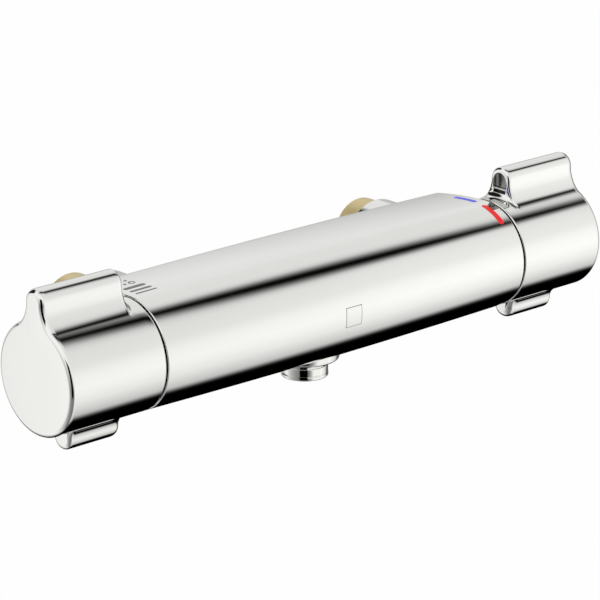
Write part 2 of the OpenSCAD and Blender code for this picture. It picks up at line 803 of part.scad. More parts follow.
module body_casting() {
    color("gainsboro") difference() {
        body_outside();
        inlet_bores();
        cartridge_bores();
        outlet_bores();
        mark_pockets();
    }
}

// Inlets, drawn at the cold side and mirrored for the hot side

module inlet_connector() {
    color("goldenrod") difference() {
        union() {
            rod_y(spigot_r, spigot_tip, boss_reach, boss_x);
            rod_y(socket_d / 2, boss_reach, inlet_reach, wall_x);
        }
        rod_y(connector_hole_d / 2, spigot_tip - over, washer_y + eps, boss_x);
        rod_y(washer_seat_d / 2, washer_y, thread_y + eps, wall_x);
        rod_y(thread_bore_d / 2, thread_y, inlet_reach + over, wall_x);
        translate([boss_x, 0, 0]) rotate([0, 0, 90]) {
            seal_groove(spigot_ring_at, spigot_bore_d / 2, ring_cs);
            tube(spigot_r + over, spigot_r - lock_groove_depth, lock_y - lock_groove_w / 2,
                lock_y + lock_groove_w / 2);
        }
    }
}

module connector_ring() {
    color("black") translate([boss_x, 0, 0]) rotate([0, 0, 90])
        seal_ring(spigot_ring_at, spigot_bore_d / 2, ring_cs);
}

module seal_washer() {
    color("black") difference() {
        rod_y(washer_seat_d / 2 - fit_gap, washer_y, thread_y - 0.05, wall_x);
        rod_y(washer_hole_d / 2, washer_y - over, thread_y + over, wall_x);
    }
}

// Set screw with a point that enters the lock groove and a key socket below
module lock_screw() {
    point_top = spigot_r - lock_groove_depth + 0.15;
    thread_top = spigot_bore_d / 2 + 0.1;
    screw_bottom = thread_top + lock_screw_len;
    color("silver") translate([boss_x, lock_y, 0]) difference() {
        union() {
            rod_down(lock_point_d / 2, point_top, thread_top + eps);
            rod_down(lock_screw_d / 2, thread_top, screw_bottom);
        }
        translate([0, 0, -screw_bottom - over])
            cylinder(d = lock_key / cos(30), h = lock_key_depth + over, $fn = 6);
    }
}

// Perforated disc: one hole in the middle and two rings of holes
module strainer() {
    color("silver") difference() {
        rod_y(spigot_bore_d / 2 - fit_gap, strainer_y, strainer_y + strainer_t, boss_x);
        rod_y(strainer_hole_d / 2, strainer_y - over, strainer_y + over * 2, boss_x);
        for (ring = [1, 2], i = [0:6 * ring - 1])
            rod_y(strainer_hole_d / 2, strainer_y - over, strainer_y + over * 2,
                boss_x + strainer_pitch * ring * cos(i * 60 / ring), strainer_pitch * ring * sin(i * 60 / ring));
    }
}

module check_valve_cage() {
    cage_r = valve_bore_d / 2 - fit_gap;
    inner_r = cage_r - cage_wall;
    color("white") difference() {
        rod_y(cage_r, cage_y, cage_y + cage_len, boss_x);
        rod_y(inner_r, cage_y + cage_plate_t, seat_y, boss_x);
        rod_y(seat_hole_d / 2, seat_y - eps, cage_y + cage_len + over, boss_x);
        rod_y(poppet_stem_d / 2 + 0.06, cage_y - over, cage_y + cage_plate_t + eps, boss_x);
        for (a = [45:90:315])
            rod_y(cage_web_hole_d / 2, cage_y - over, cage_y + cage_plate_t + eps,
                boss_x + cage_web_hole_at * cos(a), cage_web_hole_at * sin(a));
    }
}

module check_valve_poppet() {
    color("dimgray") {
        rod_y(poppet_d / 2, seat_y - poppet_t, seat_y, boss_x);
        rod_y(poppet_stem_d / 2, cage_y - 0.6, seat_y - poppet_t + eps, boss_x);
    }
}

module check_valve_spring() {
    from_y = cage_y + cage_plate_t;
    color("silver") translate([boss_x, from_y, 0]) rotate([-90, 0, 0])
        coil_spring(valve_spring_d, valve_spring_wire, seat_y - poppet_t - from_y, 3);
}

// Outlet

module hose_outlet_nipple() {
    color("gainsboro") translate([0, outlet_y, 0]) difference() {
        union() {
            rod_down(nipple_top_d / 2, nipple_top_z, outlet_boss_z);
            rod_down(nipple_relief_d / 2, outlet_boss_z - eps, hose_thread_z + eps);
            rod_down(hose_thread_d / 2, hose_thread_z, hose_thread_end);
            translate([0, 0, -nipple_end])
                cylinder(d1 = hose_end_d, d2 = hose_thread_d, h = hose_chamfer_len);
        }
        rod_down(nipple_hole_d / 2, nipple_top_z - over, nipple_end + over);
        translate([0, 0, -nipple_end - over])
            cylinder(d = nipple_key / cos(30), h = nipple_key_depth + over, $fn = 6);
    }
}

module outlet_o_ring() {
    color("black") translate([0, outlet_y, -nipple_top_z + ring_cs / 2 + ring_gap]) rotate_extrude()
        translate([nipple_top_d / 2 - ring_cs / 2, 0]) circle(d = ring_cs, $fn = 24);
}

// Handles

// Height and offset of the centres of a fin's hollow flanks: each flank touches the bar's circle and the tip
function flank_z(top, tip_r, flank_r) =
    (pow(bar_r + flank_r, 2) - pow(tip_r + flank_r, 2) + pow(top - tip_r, 2)) / (2 * (top - tip_r));
function flank_y(top, tip_r, flank_r) =
    sqrt(pow(bar_r + flank_r, 2) - pow(flank_z(top, tip_r, flank_r), 2));

// Stretch of a fin whose outline steps in by d0 at x0 and by d1 at x1
module fin(x0, x1, top, tip_r, flank_r, d0 = 0, d1 = 0) {
    fy = flank_y(top, tip_r, flank_r);
    fz = flank_z(top, tip_r, flank_r);
    difference() {
        extrude_x(x0, x1) polygon([[0, 0], [fy, fz], [0, top - tip_r], [-fy, fz]]);
        for (s = [-1, 1]) cone_x(flank_r + d0, flank_r + d1, x0, x1, s * fy, fz);
    }
    cone_x(tip_r - d0, tip_r - d1, x0, x1, 0, top - tip_r);
}

// Drawn from the plane where the chamfer of the outer face begins
module handle_outside() {
    straight = handle_len - handle_chamfer;
    translate([handle_in + straight, 0, 0]) {
        rod(bar_r, -straight, 0);
        fin(fin_start - straight, 0, fin_top, fin_tip_r, fin_flank_r);
        cone_x(bar_r, bar_r - handle_chamfer, 0, handle_chamfer);
        fin(0, handle_chamfer, fin_top, fin_tip_r, fin_flank_r, 0, handle_chamfer);
    }
    mirror([0, 0, 1]) low_fin();
}

// Low fin, drawn upwards, with its inner end rounded when seen from the side
module low_fin() {
    r = low_fin_end_r;
    intersection() {
        fin(low_fin_x, low_fin_x + low_fin_len, low_fin_top, low_fin_tip_r, low_fin_flank_r);
        translate([low_fin_x, bar_r, 0]) rotate([90, 0, 0]) linear_extrude(bar_d) {
            square([low_fin_len + over, low_fin_top - r]);
            translate([r, 0]) square([low_fin_len + over - r, low_fin_top + over]);
            translate([r, low_fin_top - r]) circle(r);
        }
    }
}

// Outline of the button's channel, drawn in by a gap
module channel_outline(gap) {
    half = channel_r - gap;
    floor_z = channel_floor + gap;
    translate([0, channel_mid]) circle(half);
    translate([-half, floor_z]) square([2 * half, channel_mid - floor_z]);
}

module handle_inside() {
    difference() {
        rod(cavity_r, handle_in - over, cavity_end);
        tube(socket_tube_d / 2, adapter_d / 2 + fit_gap, tube_x, cavity_end + eps);
    }
    rod(adapter_d / 2 + fit_gap, handle_in, cavity_end);
    tube(snap_outer_r + fit_gap, snap_inner_r, snap_x - fit_gap, snap_x + snap_ring_w + fit_gap);
    extrude_x(fin_x - over, channel_end) channel_outline(0);
    slot_half = tongue_w / 2 + button_gap;
    translate([slot_x, -slot_half, tongue_tip])
        cube([slot_end - slot_x, 2 * slot_half, channel_floor + 0.2 - tongue_tip]);
    translate([fin_x - over, -channel_r + 0.3, channel_floor - 0.7 - recess_h])
        cube([recess_depth + over, 2 * channel_r - 0.6, recess_h]);
}

module handle() {
    color("gainsboro") difference() {
        handle_outside();
        handle_inside();
    }
}

// Arched button with a dished face and a tongue that reaches down to the stop ring
module stop_button() {
    color("silver") difference() {
        union() {
            extrude_x(button_x, button_end) channel_outline(button_gap);
            translate([tongue_x, -tongue_w / 2, tongue_tip]) cube([tongue_t, tongue_w, tongue_root - tongue_tip]);
        }
        translate([button_x + button_dish - button_dish_r, 0, channel_mid]) rotate([90, 0, 0])
            cylinder(r = button_dish_r, h = channel_r, center = true);
        rod(spring_pocket_d / 2, button_end - spring_pocket_depth, button_end + over, 0, channel_mid);
    }
}

module button_spring() {
    from_x = button_end - spring_pocket_depth;
    color("silver") spring_x(button_spring_d, button_spring_wire, from_x, channel_end, 7, channel_mid);
}

module temperature_handle() {
    difference() {
        handle();
        pointer_shape(mark_gap);
    }
}

// Flush pad on the rim of the handle, forward of the fin
module pointer_shape(grow) {
    from_x = handle_in + pointer_start;
    round_mark(from_x - grow, from_x + pointer_w + grow, 1, 1 + pointer_angle,
        bar_r + mark_proud + grow, bar_r - mark_depth - grow);
}

// Pieces that fix a handle to its spindle

// Ring on the hub with one lug that stops the tongue, at the given turn forward of the vertical
module stop_ring(turn) {
    lug_end = tongue_x - lug_gap;
    color("white") {
        tube(stop_ring_d / 2, stop_ring_hole_d / 2, stop_ring_x, lug_x);
        round_mark(lug_x - eps, lug_end, turn, turn + lug_angle, stop_ring_d / 2, tongue_tip - 0.3);
    }
}

module adapter() {
    color("white") difference() {
        rod(adapter_d / 2, adapter_x, adapter_end);
        rod(spindle_d / 2 + 0.05, adapter_x - over, adapter_web_x);
        rod(screw_d / 2 + 0.2, adapter_web_x - eps, adapter_end);
        rod(screw_head_d / 2 + 0.4, adapter_web_x + adapter_web_t, adapter_end + over);
        tube(adapter_d / 2 + over, snap_inner_r, snap_x, snap_x + snap_ring_w);
    }
}

module handle_screw() {
    head_x = adapter_web_x + adapter_web_t;
    color("silver") difference() {
        union() {
            rod(screw_head_d / 2, head_x, head_x + screw_head_h);
            rod(screw_d / 2, head_x - screw_len, head_x + eps);
        }
        translate([head_x + screw_head_h - screw_key_depth, 0, 0]) rotate([0, 90, 0])
            cylinder(d = screw_key / cos(30), h = screw_key_depth + over, $fn = 6);
    }
}

module snap_ring() {
    color("silver") difference() {
        tube(snap_outer_r, snap_inner_r + 0.05, snap_x + 0.02, snap_x + snap_ring_w - 0.02);
        translate([snap_x - over, -snap_opening / 2, -adapter_d])
            cube([snap_ring_w + 2 * over, snap_opening, adapter_d]);
    }
}

module screw_hole() {
    rod(screw_hole_d / 2, adapter_web_x + adapter_web_t - screw_len - 0.6, spindle_end + over);
}

module circlip() {
    inner_r = spindle_d / 2 - circlip_groove_depth + 0.05;
    color("silver") difference() {
        tube(inner_r + circlip_w, inner_r, circlip_x + 0.02, circlip_x + circlip_t - 0.02);
        translate([circlip_x - over, -circlip_opening / 2, -spindle_d])
            cube([circlip_t + 2 * over, circlip_opening, spindle_d]);
    }
}

module circlip_groove() {
    tube(spindle_d / 2 + over, spindle_d / 2 - circlip_groove_depth, circlip_x, circlip_x + circlip_t);
}

// Places of the two O-rings on a spindle
spindle_rings = [hub_end - spindle_ring_back - spindle_ring_pitch, hub_end - spindle_ring_back];

module spindle_grooves() {
    for (x = spindle_rings) seal_groove(x, spindle_d / 2 + 0.05, small_ring_cs);
}

module spindle_o_rings() {
    color("black") for (x = spindle_rings) seal_ring(x, spindle_d / 2 + 0.05, small_ring_cs);
}

// Flow headwork

// Two openings of a ceramic disc, turned by the given angle
module disc_ports(x0, x1, turn) {
    reach = disc_d;
    half = disc_port_angle / 2;
    for (s = [0, 180]) rotate([turn + s, 0, 0]) intersection() {
        tube(disc_d / 2 - disc_rim, disc_port_r, x0, x1);
        extrude_x(x0 - over, x1 + over)
            polygon([[0, 0], [reach * sin(half), reach * cos(half)], [-reach * sin(half), reach * cos(half)]]);
    }
}

module flow_fixed_disc() {
    color("ivory") difference() {
        rod(disc_d / 2, fixed_disc_x, moving_disc_x);
        disc_ports(fixed_disc_x - over, moving_disc_x + over, 0);
    }
}

module flow_moving_disc() {
    color("white") difference() {
        rod(disc_d / 2, moving_disc_x, drive_x);
        disc_ports(moving_disc_x - over, drive_x + over, 90);
        translate([drive_x - drive_slot, -drive_w / 2, -disc_d / 2 + 1])
            cube([drive_slot + over, drive_w, disc_d - 2]);
    }
}

// Shaft with a drive bar that sits in the slot of the moving disc
module flow_spindle() {
    bar_half = disc_d / 2 - 1.1;
    color("goldenrod") difference() {
        union() {
            translate([drive_x - drive_slot + 0.1, -drive_w / 2 + 0.1, -bar_half])
                cube([drive_t + drive_slot, drive_w - 0.2, 2 * bar_half]);
            rod(spindle_d / 2, drive_x + 0.4, spindle_end);
        }
        spindle_grooves();
        circlip_groove();
        screw_hole();
    }
}

module flow_seat_seal() {
    color("black") tube(disc_d / 2 - fit_gap, seat_seal_hole_d / 2, flow_bottom, fixed_disc_x);
}

module flow_headwork() {
    neck_bore_r = spindle_d / 2 + 0.05;
    color("goldenrod") difference() {
        union() {
            rod(headwork_r, headwork_x, flow_shoulder);
            rod(flow_neck_d / 2, flow_shoulder - eps, neck_end);
        }
        rod(disc_chamber_d / 2, headwork_x - over, chamber_end);
        rod(neck_bore_r, chamber_end - eps, neck_end + over);
        tube(headwork_r + over, headwork_r - headwork_relief, relief_x0, relief_x1);
        for (a = [0, 90]) rotate([a, 0, 0])
            translate([drive_x + 0.3, -headwork_window / 2, -headwork_r - over])
                cube([chamber_end - drive_x - 0.8, headwork_window, 2 * (headwork_r + over)]);
        seal_groove(flow_ring_x, flow_bore_d / 2, ring_cs);
    }
}

module flow_o_ring() {
    color("black") seal_ring(flow_ring_x, flow_bore_d / 2, ring_cs);
}

// Threaded nut inside a cavity, with a hexagon at its outer end
module retaining_nut(x0, bore_r, key, hole_r) {
    color("goldenrod") difference() {
        union() {
            rod(bore_r - fit_gap, x0, nut_hex_x);
            translate([nut_hex_x - eps, 0, 0]) rotate([0, 90, 0])
                cylinder(d = key / cos(30), h = nut_end - nut_hex_x + eps, $fn = 6);
        }
        rod(hole_r, x0 - over, nut_end + over);
    }
}

module flow_retaining_nut() {
    retaining_nut(nut_x, flow_bore_d / 2, flow_nut_key, flow_neck_d / 2 + fit_gap);
}

// Thermostatic cartridge

// Four windows through the wall of the housing
module cartridge_windows(x0, x1) {
    for (a = [45, 135]) rotate([a, 0, 0])
        translate([x0, -cartridge_window / 2, -cartridge_r - over])
            cube([x1 - x0, cartridge_window, 2 * (cartridge_r + over)]);
}

module cartridge_housing() {
    relief_r = cartridge_r - cartridge_relief;
    color("white") difference() {
        union() {
            rod(nose_r, nose_x, housing_x + eps);
            rod(cartridge_r, housing_x, cap_x);
        }
        rod(nose_hole_d / 2, nose_x - over, return_seat_x + eps);
        rod(nose_inner_d / 2, return_seat_x, seat_x + eps);
        rod(cartridge_bore_d / 2, seat_x, cap_x + over);
        tube(cartridge_r + over, relief_r, hot_zone_x, hot_zone_end);
        tube(cartridge_r + over, relief_r, cold_zone_x, cold_zone_end);
        cartridge_windows(seat_x, piston_x + 1.6);
        cartridge_windows(piston_end - 1.6, cold_seat_x);
        seal_groove(ring_x_nose, nose_bore_d / 2, small_ring_cs);
        seal_groove(ring_x_mid, thermo_bore_d / 2, ring_cs);
        seal_groove(ring_x_end, thermo_bore_d / 2, ring_cs);
    }
}

module cartridge_o_rings() {
    color("black") {
        seal_ring(ring_x_nose, nose_bore_d / 2, small_ring_cs);
        seal_ring(ring_x_mid, thermo_bore_d / 2, ring_cs);
        seal_ring(ring_x_end, thermo_bore_d / 2, ring_cs);
    }
}

module cartridge_cap() {
    color("goldenrod") difference() {
        union() {
            rod(cartridge_r, cap_x, cap_x + cap_t);
            rod(thermo_neck_d / 2, cap_x + cap_t - eps, neck_end);
        }
        rod(spindle_d / 2 + 0.05, cap_x - over, neck_end + over);
    }
}

module cartridge_retaining_nut() {
    retaining_nut(cap_x + cap_t, thermo_bore_d / 2, thermo_nut_key, thermo_neck_d / 2 + fit_gap);
}

module cold_seat_ring() {
    color("silver") tube(cartridge_bore_d / 2 - 0.05, nose_inner_d / 2, cold_seat_x, cold_seat_x + cold_seat_t);
}

// Sleeve with a web that carries the wax element
module regulating_piston() {
    piston_r = cartridge_bore_d / 2 - piston_gap;
    color("lightgray") difference() {
        rod(piston_r, piston_x, piston_end);
        rod(piston_r - piston_wall, piston_x - over, piston_web_x);
        rod(piston_r - piston_wall, piston_web_x + piston_web_t, piston_end + over);
        rod(wax_d / 2 + 0.05, piston_x, piston_end);
        for (a = [0:60:300])
            rod(piston_hole_d / 2, piston_x, piston_end, piston_hole_at * cos(a), piston_hole_at * sin(a));
    }
}

// Case with a collar that pushes on the piston, and a pin
module wax_element() {
    collar_x = piston_web_x + piston_web_t;
    color("peru") {
        rod(wax_d / 2, wax_x, wax_end);
        rod(wax_d / 2 + wax_collar_w, collar_x, collar_x + wax_collar_t);
        rod(wax_pin_d / 2, wax_end - eps, wax_end + wax_pin_len);
    }
}

module return_spring() {
    color("silver") spring_x(return_spring_d, return_spring_wire, return_seat_x, piston_web_x, 7);
}

module overload_cup() {
    color("silver") {
        rod(cup_nose_d / 2, cup_x, cup_x + cup_nose_len + eps);
        rod(cup_d / 2, cup_x + cup_nose_len, cup_x + cup_nose_len + cup_t);
    }
}

module regulating_nut() {
    color("white") difference() {
        rod(cartridge_bore_d / 2 - piston_gap, reg_nut_x, reg_nut_end);
        rod(reg_recess_r, reg_nut_x - over, reg_nut_end - reg_nut_web);
        rod(spindle_screw_d / 2 + 0.06, reg_nut_x, reg_nut_end + over);
    }
}

module overload_spring() {
    from_x = cup_x + cup_nose_len + cup_t;
    color("silver") spring_x(overload_spring_d, overload_spring_wire, from_x, reg_nut_end - reg_nut_web, 3);
}

module temperature_spindle() {
    color("goldenrod") difference() {
        union() {
            rod(spindle_screw_d / 2, reg_nut_end - reg_nut_web + 0.4, flange_x + eps);
            rod(flange_d / 2, flange_x, flange_x + flange_t);
            rod(spindle_d / 2, flange_x + flange_t - eps, spindle_end);
        }
        spindle_grooves();
        circlip_groove();
        screw_hole();
    }
}

module both_sides() {
    placed() children();
    placed_left() children();
}

placed() body_casting();
placed_left() inlet_connector();  // hot_inlet_connector
placed() inlet_connector();  // cold_inlet_connector
both_sides() seal_washer();  // inlet_seal_washers
both_sides() connector_ring();  // connector_o_rings
both_sides() lock_screw();  // connector_lock_screws
both_sides() strainer();  // inlet_strainers
placed_left() check_valve_cage();  // hot_check_valve_cage
placed() check_valve_cage();  // cold_check_valve_cage
placed_left() check_valve_poppet();  // hot_check_valve_poppet
placed() check_valve_poppet();  // cold_check_valve_poppet
placed_left() check_valve_spring();  // hot_check_valve_spring
placed() check_valve_spring();  // cold_check_valve_spring
placed() hose_outlet_nipple();
placed() outlet_o_ring();
placed_left() flow_headwork();
placed_left() flow_retaining_nut();
placed_left() flow_o_ring();
placed_left() flow_seat_seal();
placed_left() flow_fixed_disc();
placed_left() flow_moving_disc();
placed_left() flow_spindle();
placed_left() spindle_o_rings();  // flow_spindle_o_rings
placed_left() circlip();  // flow_circlip
placed_left() stop_ring(-flow_lug_turn - lug_angle);  // flow_stop_ring
placed_left() adapter();  // flow_adapter
placed_left() handle_screw();  // flow_handle_screw
placed_left() snap_ring();  // flow_snap_ring
placed_left() handle();  // flow_handle
placed_left() stop_button();  // flow_stop_button
placed_left() button_spring();  // flow_button_spring
placed() cartridge_housing();
placed() cartridge_cap();
placed() cartridge_retaining_nut();
placed() cartridge_o_rings();
placed() cold_seat_ring();
placed() regulating_piston();
placed() wax_element();
placed() return_spring();
placed() regulating_nut();
placed() overload_cup();
placed() overload_spring();
placed() temperature_spindle();
placed() spindle_o_rings();  // temperature_spindle_o_rings
placed() circlip();  // temperature_circlip
placed() stop_ring(thermo_lug_turn);  // temperature_stop_ring
placed() adapter();  // temperature_adapter
placed() handle_screw();  // temperature_handle_screw
placed() snap_ring();  // temperature_snap_ring
placed() temperature_handle();
placed() stop_button();  // temperature_stop_button
placed() button_spring();  // temperature_button_spring
placed() color("lightgray") pointer_shape(0);  // temperature_pointer
placed() color("red") red_shape(0);  // red_mark
placed() color("blue") blue_shape(0);  // blue_mark
placed() color("gray") flow_mark_shape(0);  // flow_marks
placed() color("gray") badge_shape(0);  // front_badge
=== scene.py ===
"""A chrome thermostatic shower mixer on a white studio ground.

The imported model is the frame. Shapes are drawn in millimetres in the frame of the bar: x along the bar,
y towards the wall from the bar's axis, z up. place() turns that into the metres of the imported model.
"""

import json
from math import acos, asin, atan2, cos, hypot, pi, radians, sin, sqrt

import bmesh
import bpy
from mathutils import Matrix, Vector


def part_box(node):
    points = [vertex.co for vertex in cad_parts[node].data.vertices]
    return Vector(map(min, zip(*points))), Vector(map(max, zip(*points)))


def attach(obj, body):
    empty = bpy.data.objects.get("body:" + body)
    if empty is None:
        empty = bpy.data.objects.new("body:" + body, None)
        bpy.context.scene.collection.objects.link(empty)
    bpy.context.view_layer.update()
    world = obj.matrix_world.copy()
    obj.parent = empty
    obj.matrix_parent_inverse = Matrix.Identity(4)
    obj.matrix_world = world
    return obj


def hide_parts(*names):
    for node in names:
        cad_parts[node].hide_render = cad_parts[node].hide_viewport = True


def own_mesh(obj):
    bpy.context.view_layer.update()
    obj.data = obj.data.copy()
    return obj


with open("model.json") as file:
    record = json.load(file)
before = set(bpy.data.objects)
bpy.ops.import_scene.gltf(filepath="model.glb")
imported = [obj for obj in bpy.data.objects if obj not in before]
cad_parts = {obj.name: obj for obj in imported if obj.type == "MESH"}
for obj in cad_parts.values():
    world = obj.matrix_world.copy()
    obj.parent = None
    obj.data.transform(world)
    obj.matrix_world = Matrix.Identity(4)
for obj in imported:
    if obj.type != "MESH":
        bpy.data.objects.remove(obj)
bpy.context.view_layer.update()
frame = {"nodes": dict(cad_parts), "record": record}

MM = 0.001
# How far a cutting shape reaches past the surface that it cuts, in millimetres
OVER = 1

# How far the handles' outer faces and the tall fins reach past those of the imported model
FACE_PROUD = 0.45
FIN_PROUD = 0.4

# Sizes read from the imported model, in millimetres
handle_low, handle_high = [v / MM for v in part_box("temperature_handle")]
body_low, body_high = [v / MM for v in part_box("body_casting")]
nipple_low, nipple_high = [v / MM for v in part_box("hose_outlet_nipple")]
housing_low, housing_high = [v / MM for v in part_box("cartridge_housing")]
AXIS_Y = (handle_low.y + handle_high.y) / 2
BAR_R = (handle_high.y - handle_low.y) / 2
HANDLE_IN = handle_low.x
HANDLE_OUT = handle_high.x + FACE_PROUD
FIN_TOP = handle_high.z + FIN_PROUD
LOW_FIN_TOP = -handle_low.z
HUB_END = body_high.x
BOSS_REACH = body_high.y - AXIS_Y
OUTLET_BOSS_Z = body_low.z

# Body
SEAM = 0.5
BODY_END = HANDLE_IN - SEAM
# How much the bar swells towards its middle
BULGE = 0.85
# How far the flat top reaches behind the axis, the round of its rear edge and its fall towards the wall
BACK_DEPTH = 24.5
BACK_EDGE_R = 1.1
BACK_CROWN = 0.45
# The round of the flat top's ends, seen from above, and how far behind the axis its centre lies
END_PLAN_R = 45.0
END_PLAN_Y = 1.5
HUB_R = 18.0
RIM_R = 0.4
BOSS_X = 75.0
BOSS_R = 18.2
BOSS_EDGE_R = 0.6
OUTLET_Y = (nipple_low.y + nipple_high.y) / 2 - AXIS_Y
OUTLET_BOSS_R = 14.55
OUTLET_BOSS_EDGE_R = 1.2
# How far into the body both kinds of boss reach: behind its axis, and at which height
BOSS_ROOT = BACK_DEPTH - 4
OUTLET_BOSS_ROOT = -16.0

# Hollows of the body, as (along, radius)
CARTRIDGE_R, CARTRIDGE_SEAT = housing_high.y - AXIS_Y + 0.15, housing_low.x + 11.5
CARTRIDGE_NOSE = (housing_low.x - 0.8, 10.2)
FLOW_ROOM = (-52.0, 13.0)
MIXED_R = 6.0
INLET_HOLE = [(15.5, 10.0), (33.0, 10.0), (33.0, 12.1), (BOSS_REACH + OVER, 12.1)]
OUTLET_HOLE = [(-10.1, 6.2), (-16.1, 6.2), (-16.1, 9.1), (OUTLET_BOSS_Z - OVER, 9.1)]

# Handles
# How far the handle's inner end stands back from the seam, and the round of its rim, on each side
HANDLE_RIM = {-1: (0.0, 1.3), 1: (0.5, 0.5)}
FACE_EDGE_R = 2.0
# How far along the fin the round of its edge reaches
FIN_EDGE_LENGTH = 3.0
# Rings of the flat outer face, as shares of its outline, which keep its shading even
FACE_RINGS = (0.6, 0.2, 0.001)
HANDLE_CAVITY_R = 19.5
HANDLE_END_T = 4.05
# The tube inside that grips the spindle: its inner and outer radius, and its start from the inner end
SOCKET_TUBE = (11.6, 15.0, 14.2)
# Fins: height of the top above the axis, radii of tip and flank, and place and length along the handle
FIN = {"top": FIN_TOP, "tip": 5.5, "flank": 12.6, "start": 7.2}
# Rounds of the fins' ends: along the fin, and across it
FIN_LIP = (1.4, 1.4)
# Radius of the hollow round where the fin's inner end meets the bar
FIN_FOOT = 3.4
LOW_FIN = {"top": LOW_FIN_TOP, "tip": 5.4, "flank": 6.0, "start": 9.4, "length": 25.5}
LOW_FIN_INNER = (3.4, 3.0)
LOW_FIN_OUTER = (1.8, 1.8)
# The button's channel in the tall fin, the slot for its tongue and the finger recess below the mouth
CHANNEL = {"mid": 30.15, "half": 3.95, "floor": 27.3, "length": 22}
SLOT = {"start": 3.05, "end": 9.05, "half": 2.65, "bottom": 16.9}
RECESS = {"half": 3.65, "depth": 1.5, "bottom": 25.1, "top": 26.6}
# Which faces of the channel are dull, by the place of their middles: how far they keep from the mouth's edge
# and from the outer face, and how far off the round, beside the slot and under it they may lie. The faces of
# the recess that get the near-black painted shade keep the last distance from the channel's flanks.
DULL = {"mouth": 0.3, "face": 0.5, "near": 0.1, "beside": 0.05, "under": 0.9, "flank": 0.2}

# Outlet nipple: its radii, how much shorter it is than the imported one, its chamfer and the round of its lip
NIPPLE = {"bore": 6.0, "neck": 8.6, "top": 9.0, "groove": 9.5, "lip": 9.9, "key": 6.4}
NIPPLE_SHORT = 0.3
NIPPLE_CHAMFER = 0.4
NIPPLE_LIP_R = 0.6
NIPPLE_KEY_DEPTH = 6
# The ring over its thread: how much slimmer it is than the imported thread, its distances from the boss above
# and from the end below, the round of its upper edge, its lower chamfer and the groove under it
RING = {"slim": 0.7, "below_boss": 2.4, "above_end": 1.7, "edge_r": 0.4, "chamfer": 0.3, "groove": 0.35}

SHARP = radians(32)
# What a lathe profile has for a radius where it meets its axis
ON_AXIS = 0.01


# Meshes

def place(x, y, z):
    """A point of the bar's frame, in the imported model's metres."""
    return Vector((x, y + AXIS_Y, z)) * MM


def add_object(name, mesh):
    piece = bpy.data.objects.new(name, mesh)
    bpy.context.scene.collection.objects.link(piece)
    return piece


def smooth(piece, angle=SHARP):
    """Smooth shading that keeps edges sharper than the angle, with normals that follow the large faces."""
    piece.data.shade_smooth()
    piece.data.set_sharp_from_angle(angle=angle)
    bend = piece.modifiers.new("normals", "WEIGHTED_NORMAL")
    bend.keep_sharp = True
    return piece


def clean(mesh):
    """Joins points that coincide and turns all faces outwards."""
    work = bmesh.new()
    work.from_mesh(mesh)
    bmesh.ops.remove_doubles(work, verts=work.verts, dist=1e-7)
    bmesh.ops.dissolve_degenerate(work, edges=work.edges, dist=1e-7)
    bmesh.ops.recalc_face_normals(work, faces=work.faces)
    work.to_mesh(mesh)
    work.free()


def skin(name, rings, loop=False, caps=False):
    """A surface through rings of equally many points, closed around each ring.

    loop joins the last ring to the first, and caps closes both ends with a fan.
    """
    count = len(rings[0])
    points = [p for ring in rings for p in ring]
    faces = []
    for i in range(len(rings) if loop else len(rings) - 1):
        a, b = i * count, (i + 1) % len(rings) * count
        for j in range(count):
            k = (j + 1) % count
            faces.append((a + j, a + k, b + k, b + j))
    if caps:
        for start in (0, (len(rings) - 1) * count):
            middle = sum((points[start + j] for j in range(count)), Vector()) / count
            points.append(middle)
            faces += [(start + j, start + (j + 1) % count, len(points) - 1) for j in range(count)]
    mesh = bpy.data.meshes.new(name)
    mesh.from_pydata(points, [], faces)
    clean(mesh)
    return add_object(name, mesh)


def combine(piece, other, operation):
    """Adds another mesh to a piece or cuts it out, and removes the other object."""
    step = piece.modifiers.new("join", "BOOLEAN")
    step.object = other
    step.operation = operation
    step.solver = "EXACT"
    done = piece.evaluated_get(bpy.context.evaluated_depsgraph_get())
    mesh = bpy.data.meshes.new_from_object(done)
    piece.modifiers.clear()
    piece.data = mesh
    mesh.name = piece.name
    bpy.data.objects.remove(other)


def turned(name, profile, at, axis, count=96):
    """A piece turned on a lathe from a closed profile of (along, radius) points.

    at is the foot of its axis, and axis is one of x, y, z.
    """
    rings = []
    for along, r in profile:
        ring = []
        for i in range(count):
            turn = 2 * pi * (i / count)
            a, b = r * cos(turn), r * sin(turn)
            offset = {"x": (along, a, b), "y": (a, along, b), "z": (a, b, along)}[axis]
            ring.append(place(*(p + q for p, q in zip(at, offset))))
        rings.append(ring)
    return skin(name, rings, loop=True)


def from_axis(points):
    """A lathe profile that starts and ends on the axis."""
    return [(points[0][0], ON_AXIS), *points, (points[-1][0], ON_AXIS)]


def span(start, stop, steps):
    return [start + (stop - start) * i / steps for i in range(steps + 1)]


def rounded(x0, r0, x1, r1, towards, steps=5):
    """A quarter round from (x0, r0) to (x1, r1) that leaves the first point along the axis or outwards."""
    points = []
    for t in span(0, pi / 2, steps):
        s, c = sin(t), 1 - cos(t)
        u, v = (s, c) if towards == "along" else (c, s)
        points.append((x0 + (x1 - x0) * u, r0 + (r1 - r0) * v))
    return points


# Body

def bar_radius(x):
    """The bar swells a little between the handles."""
    return BAR_R + BULGE * max(0.0, 1 - (x / BODY_END) ** 2)


def back_at(x):
    """How deep the flat top reaches behind the axis: its ends are round when seen from above."""
    beyond = abs(x) - (BODY_END - END_PLAN_R)
    if beyond <= 0:
        return BACK_DEPTH
    return min(BACK_DEPTH, END_PLAN_Y + sqrt(max(0.0, END_PLAN_R ** 2 - beyond ** 2)))


def crown_drop(y):
    """How far the flat top falls towards the wall."""
    return BACK_CROWN * max(0.0, y / BACK_DEPTH) ** 2


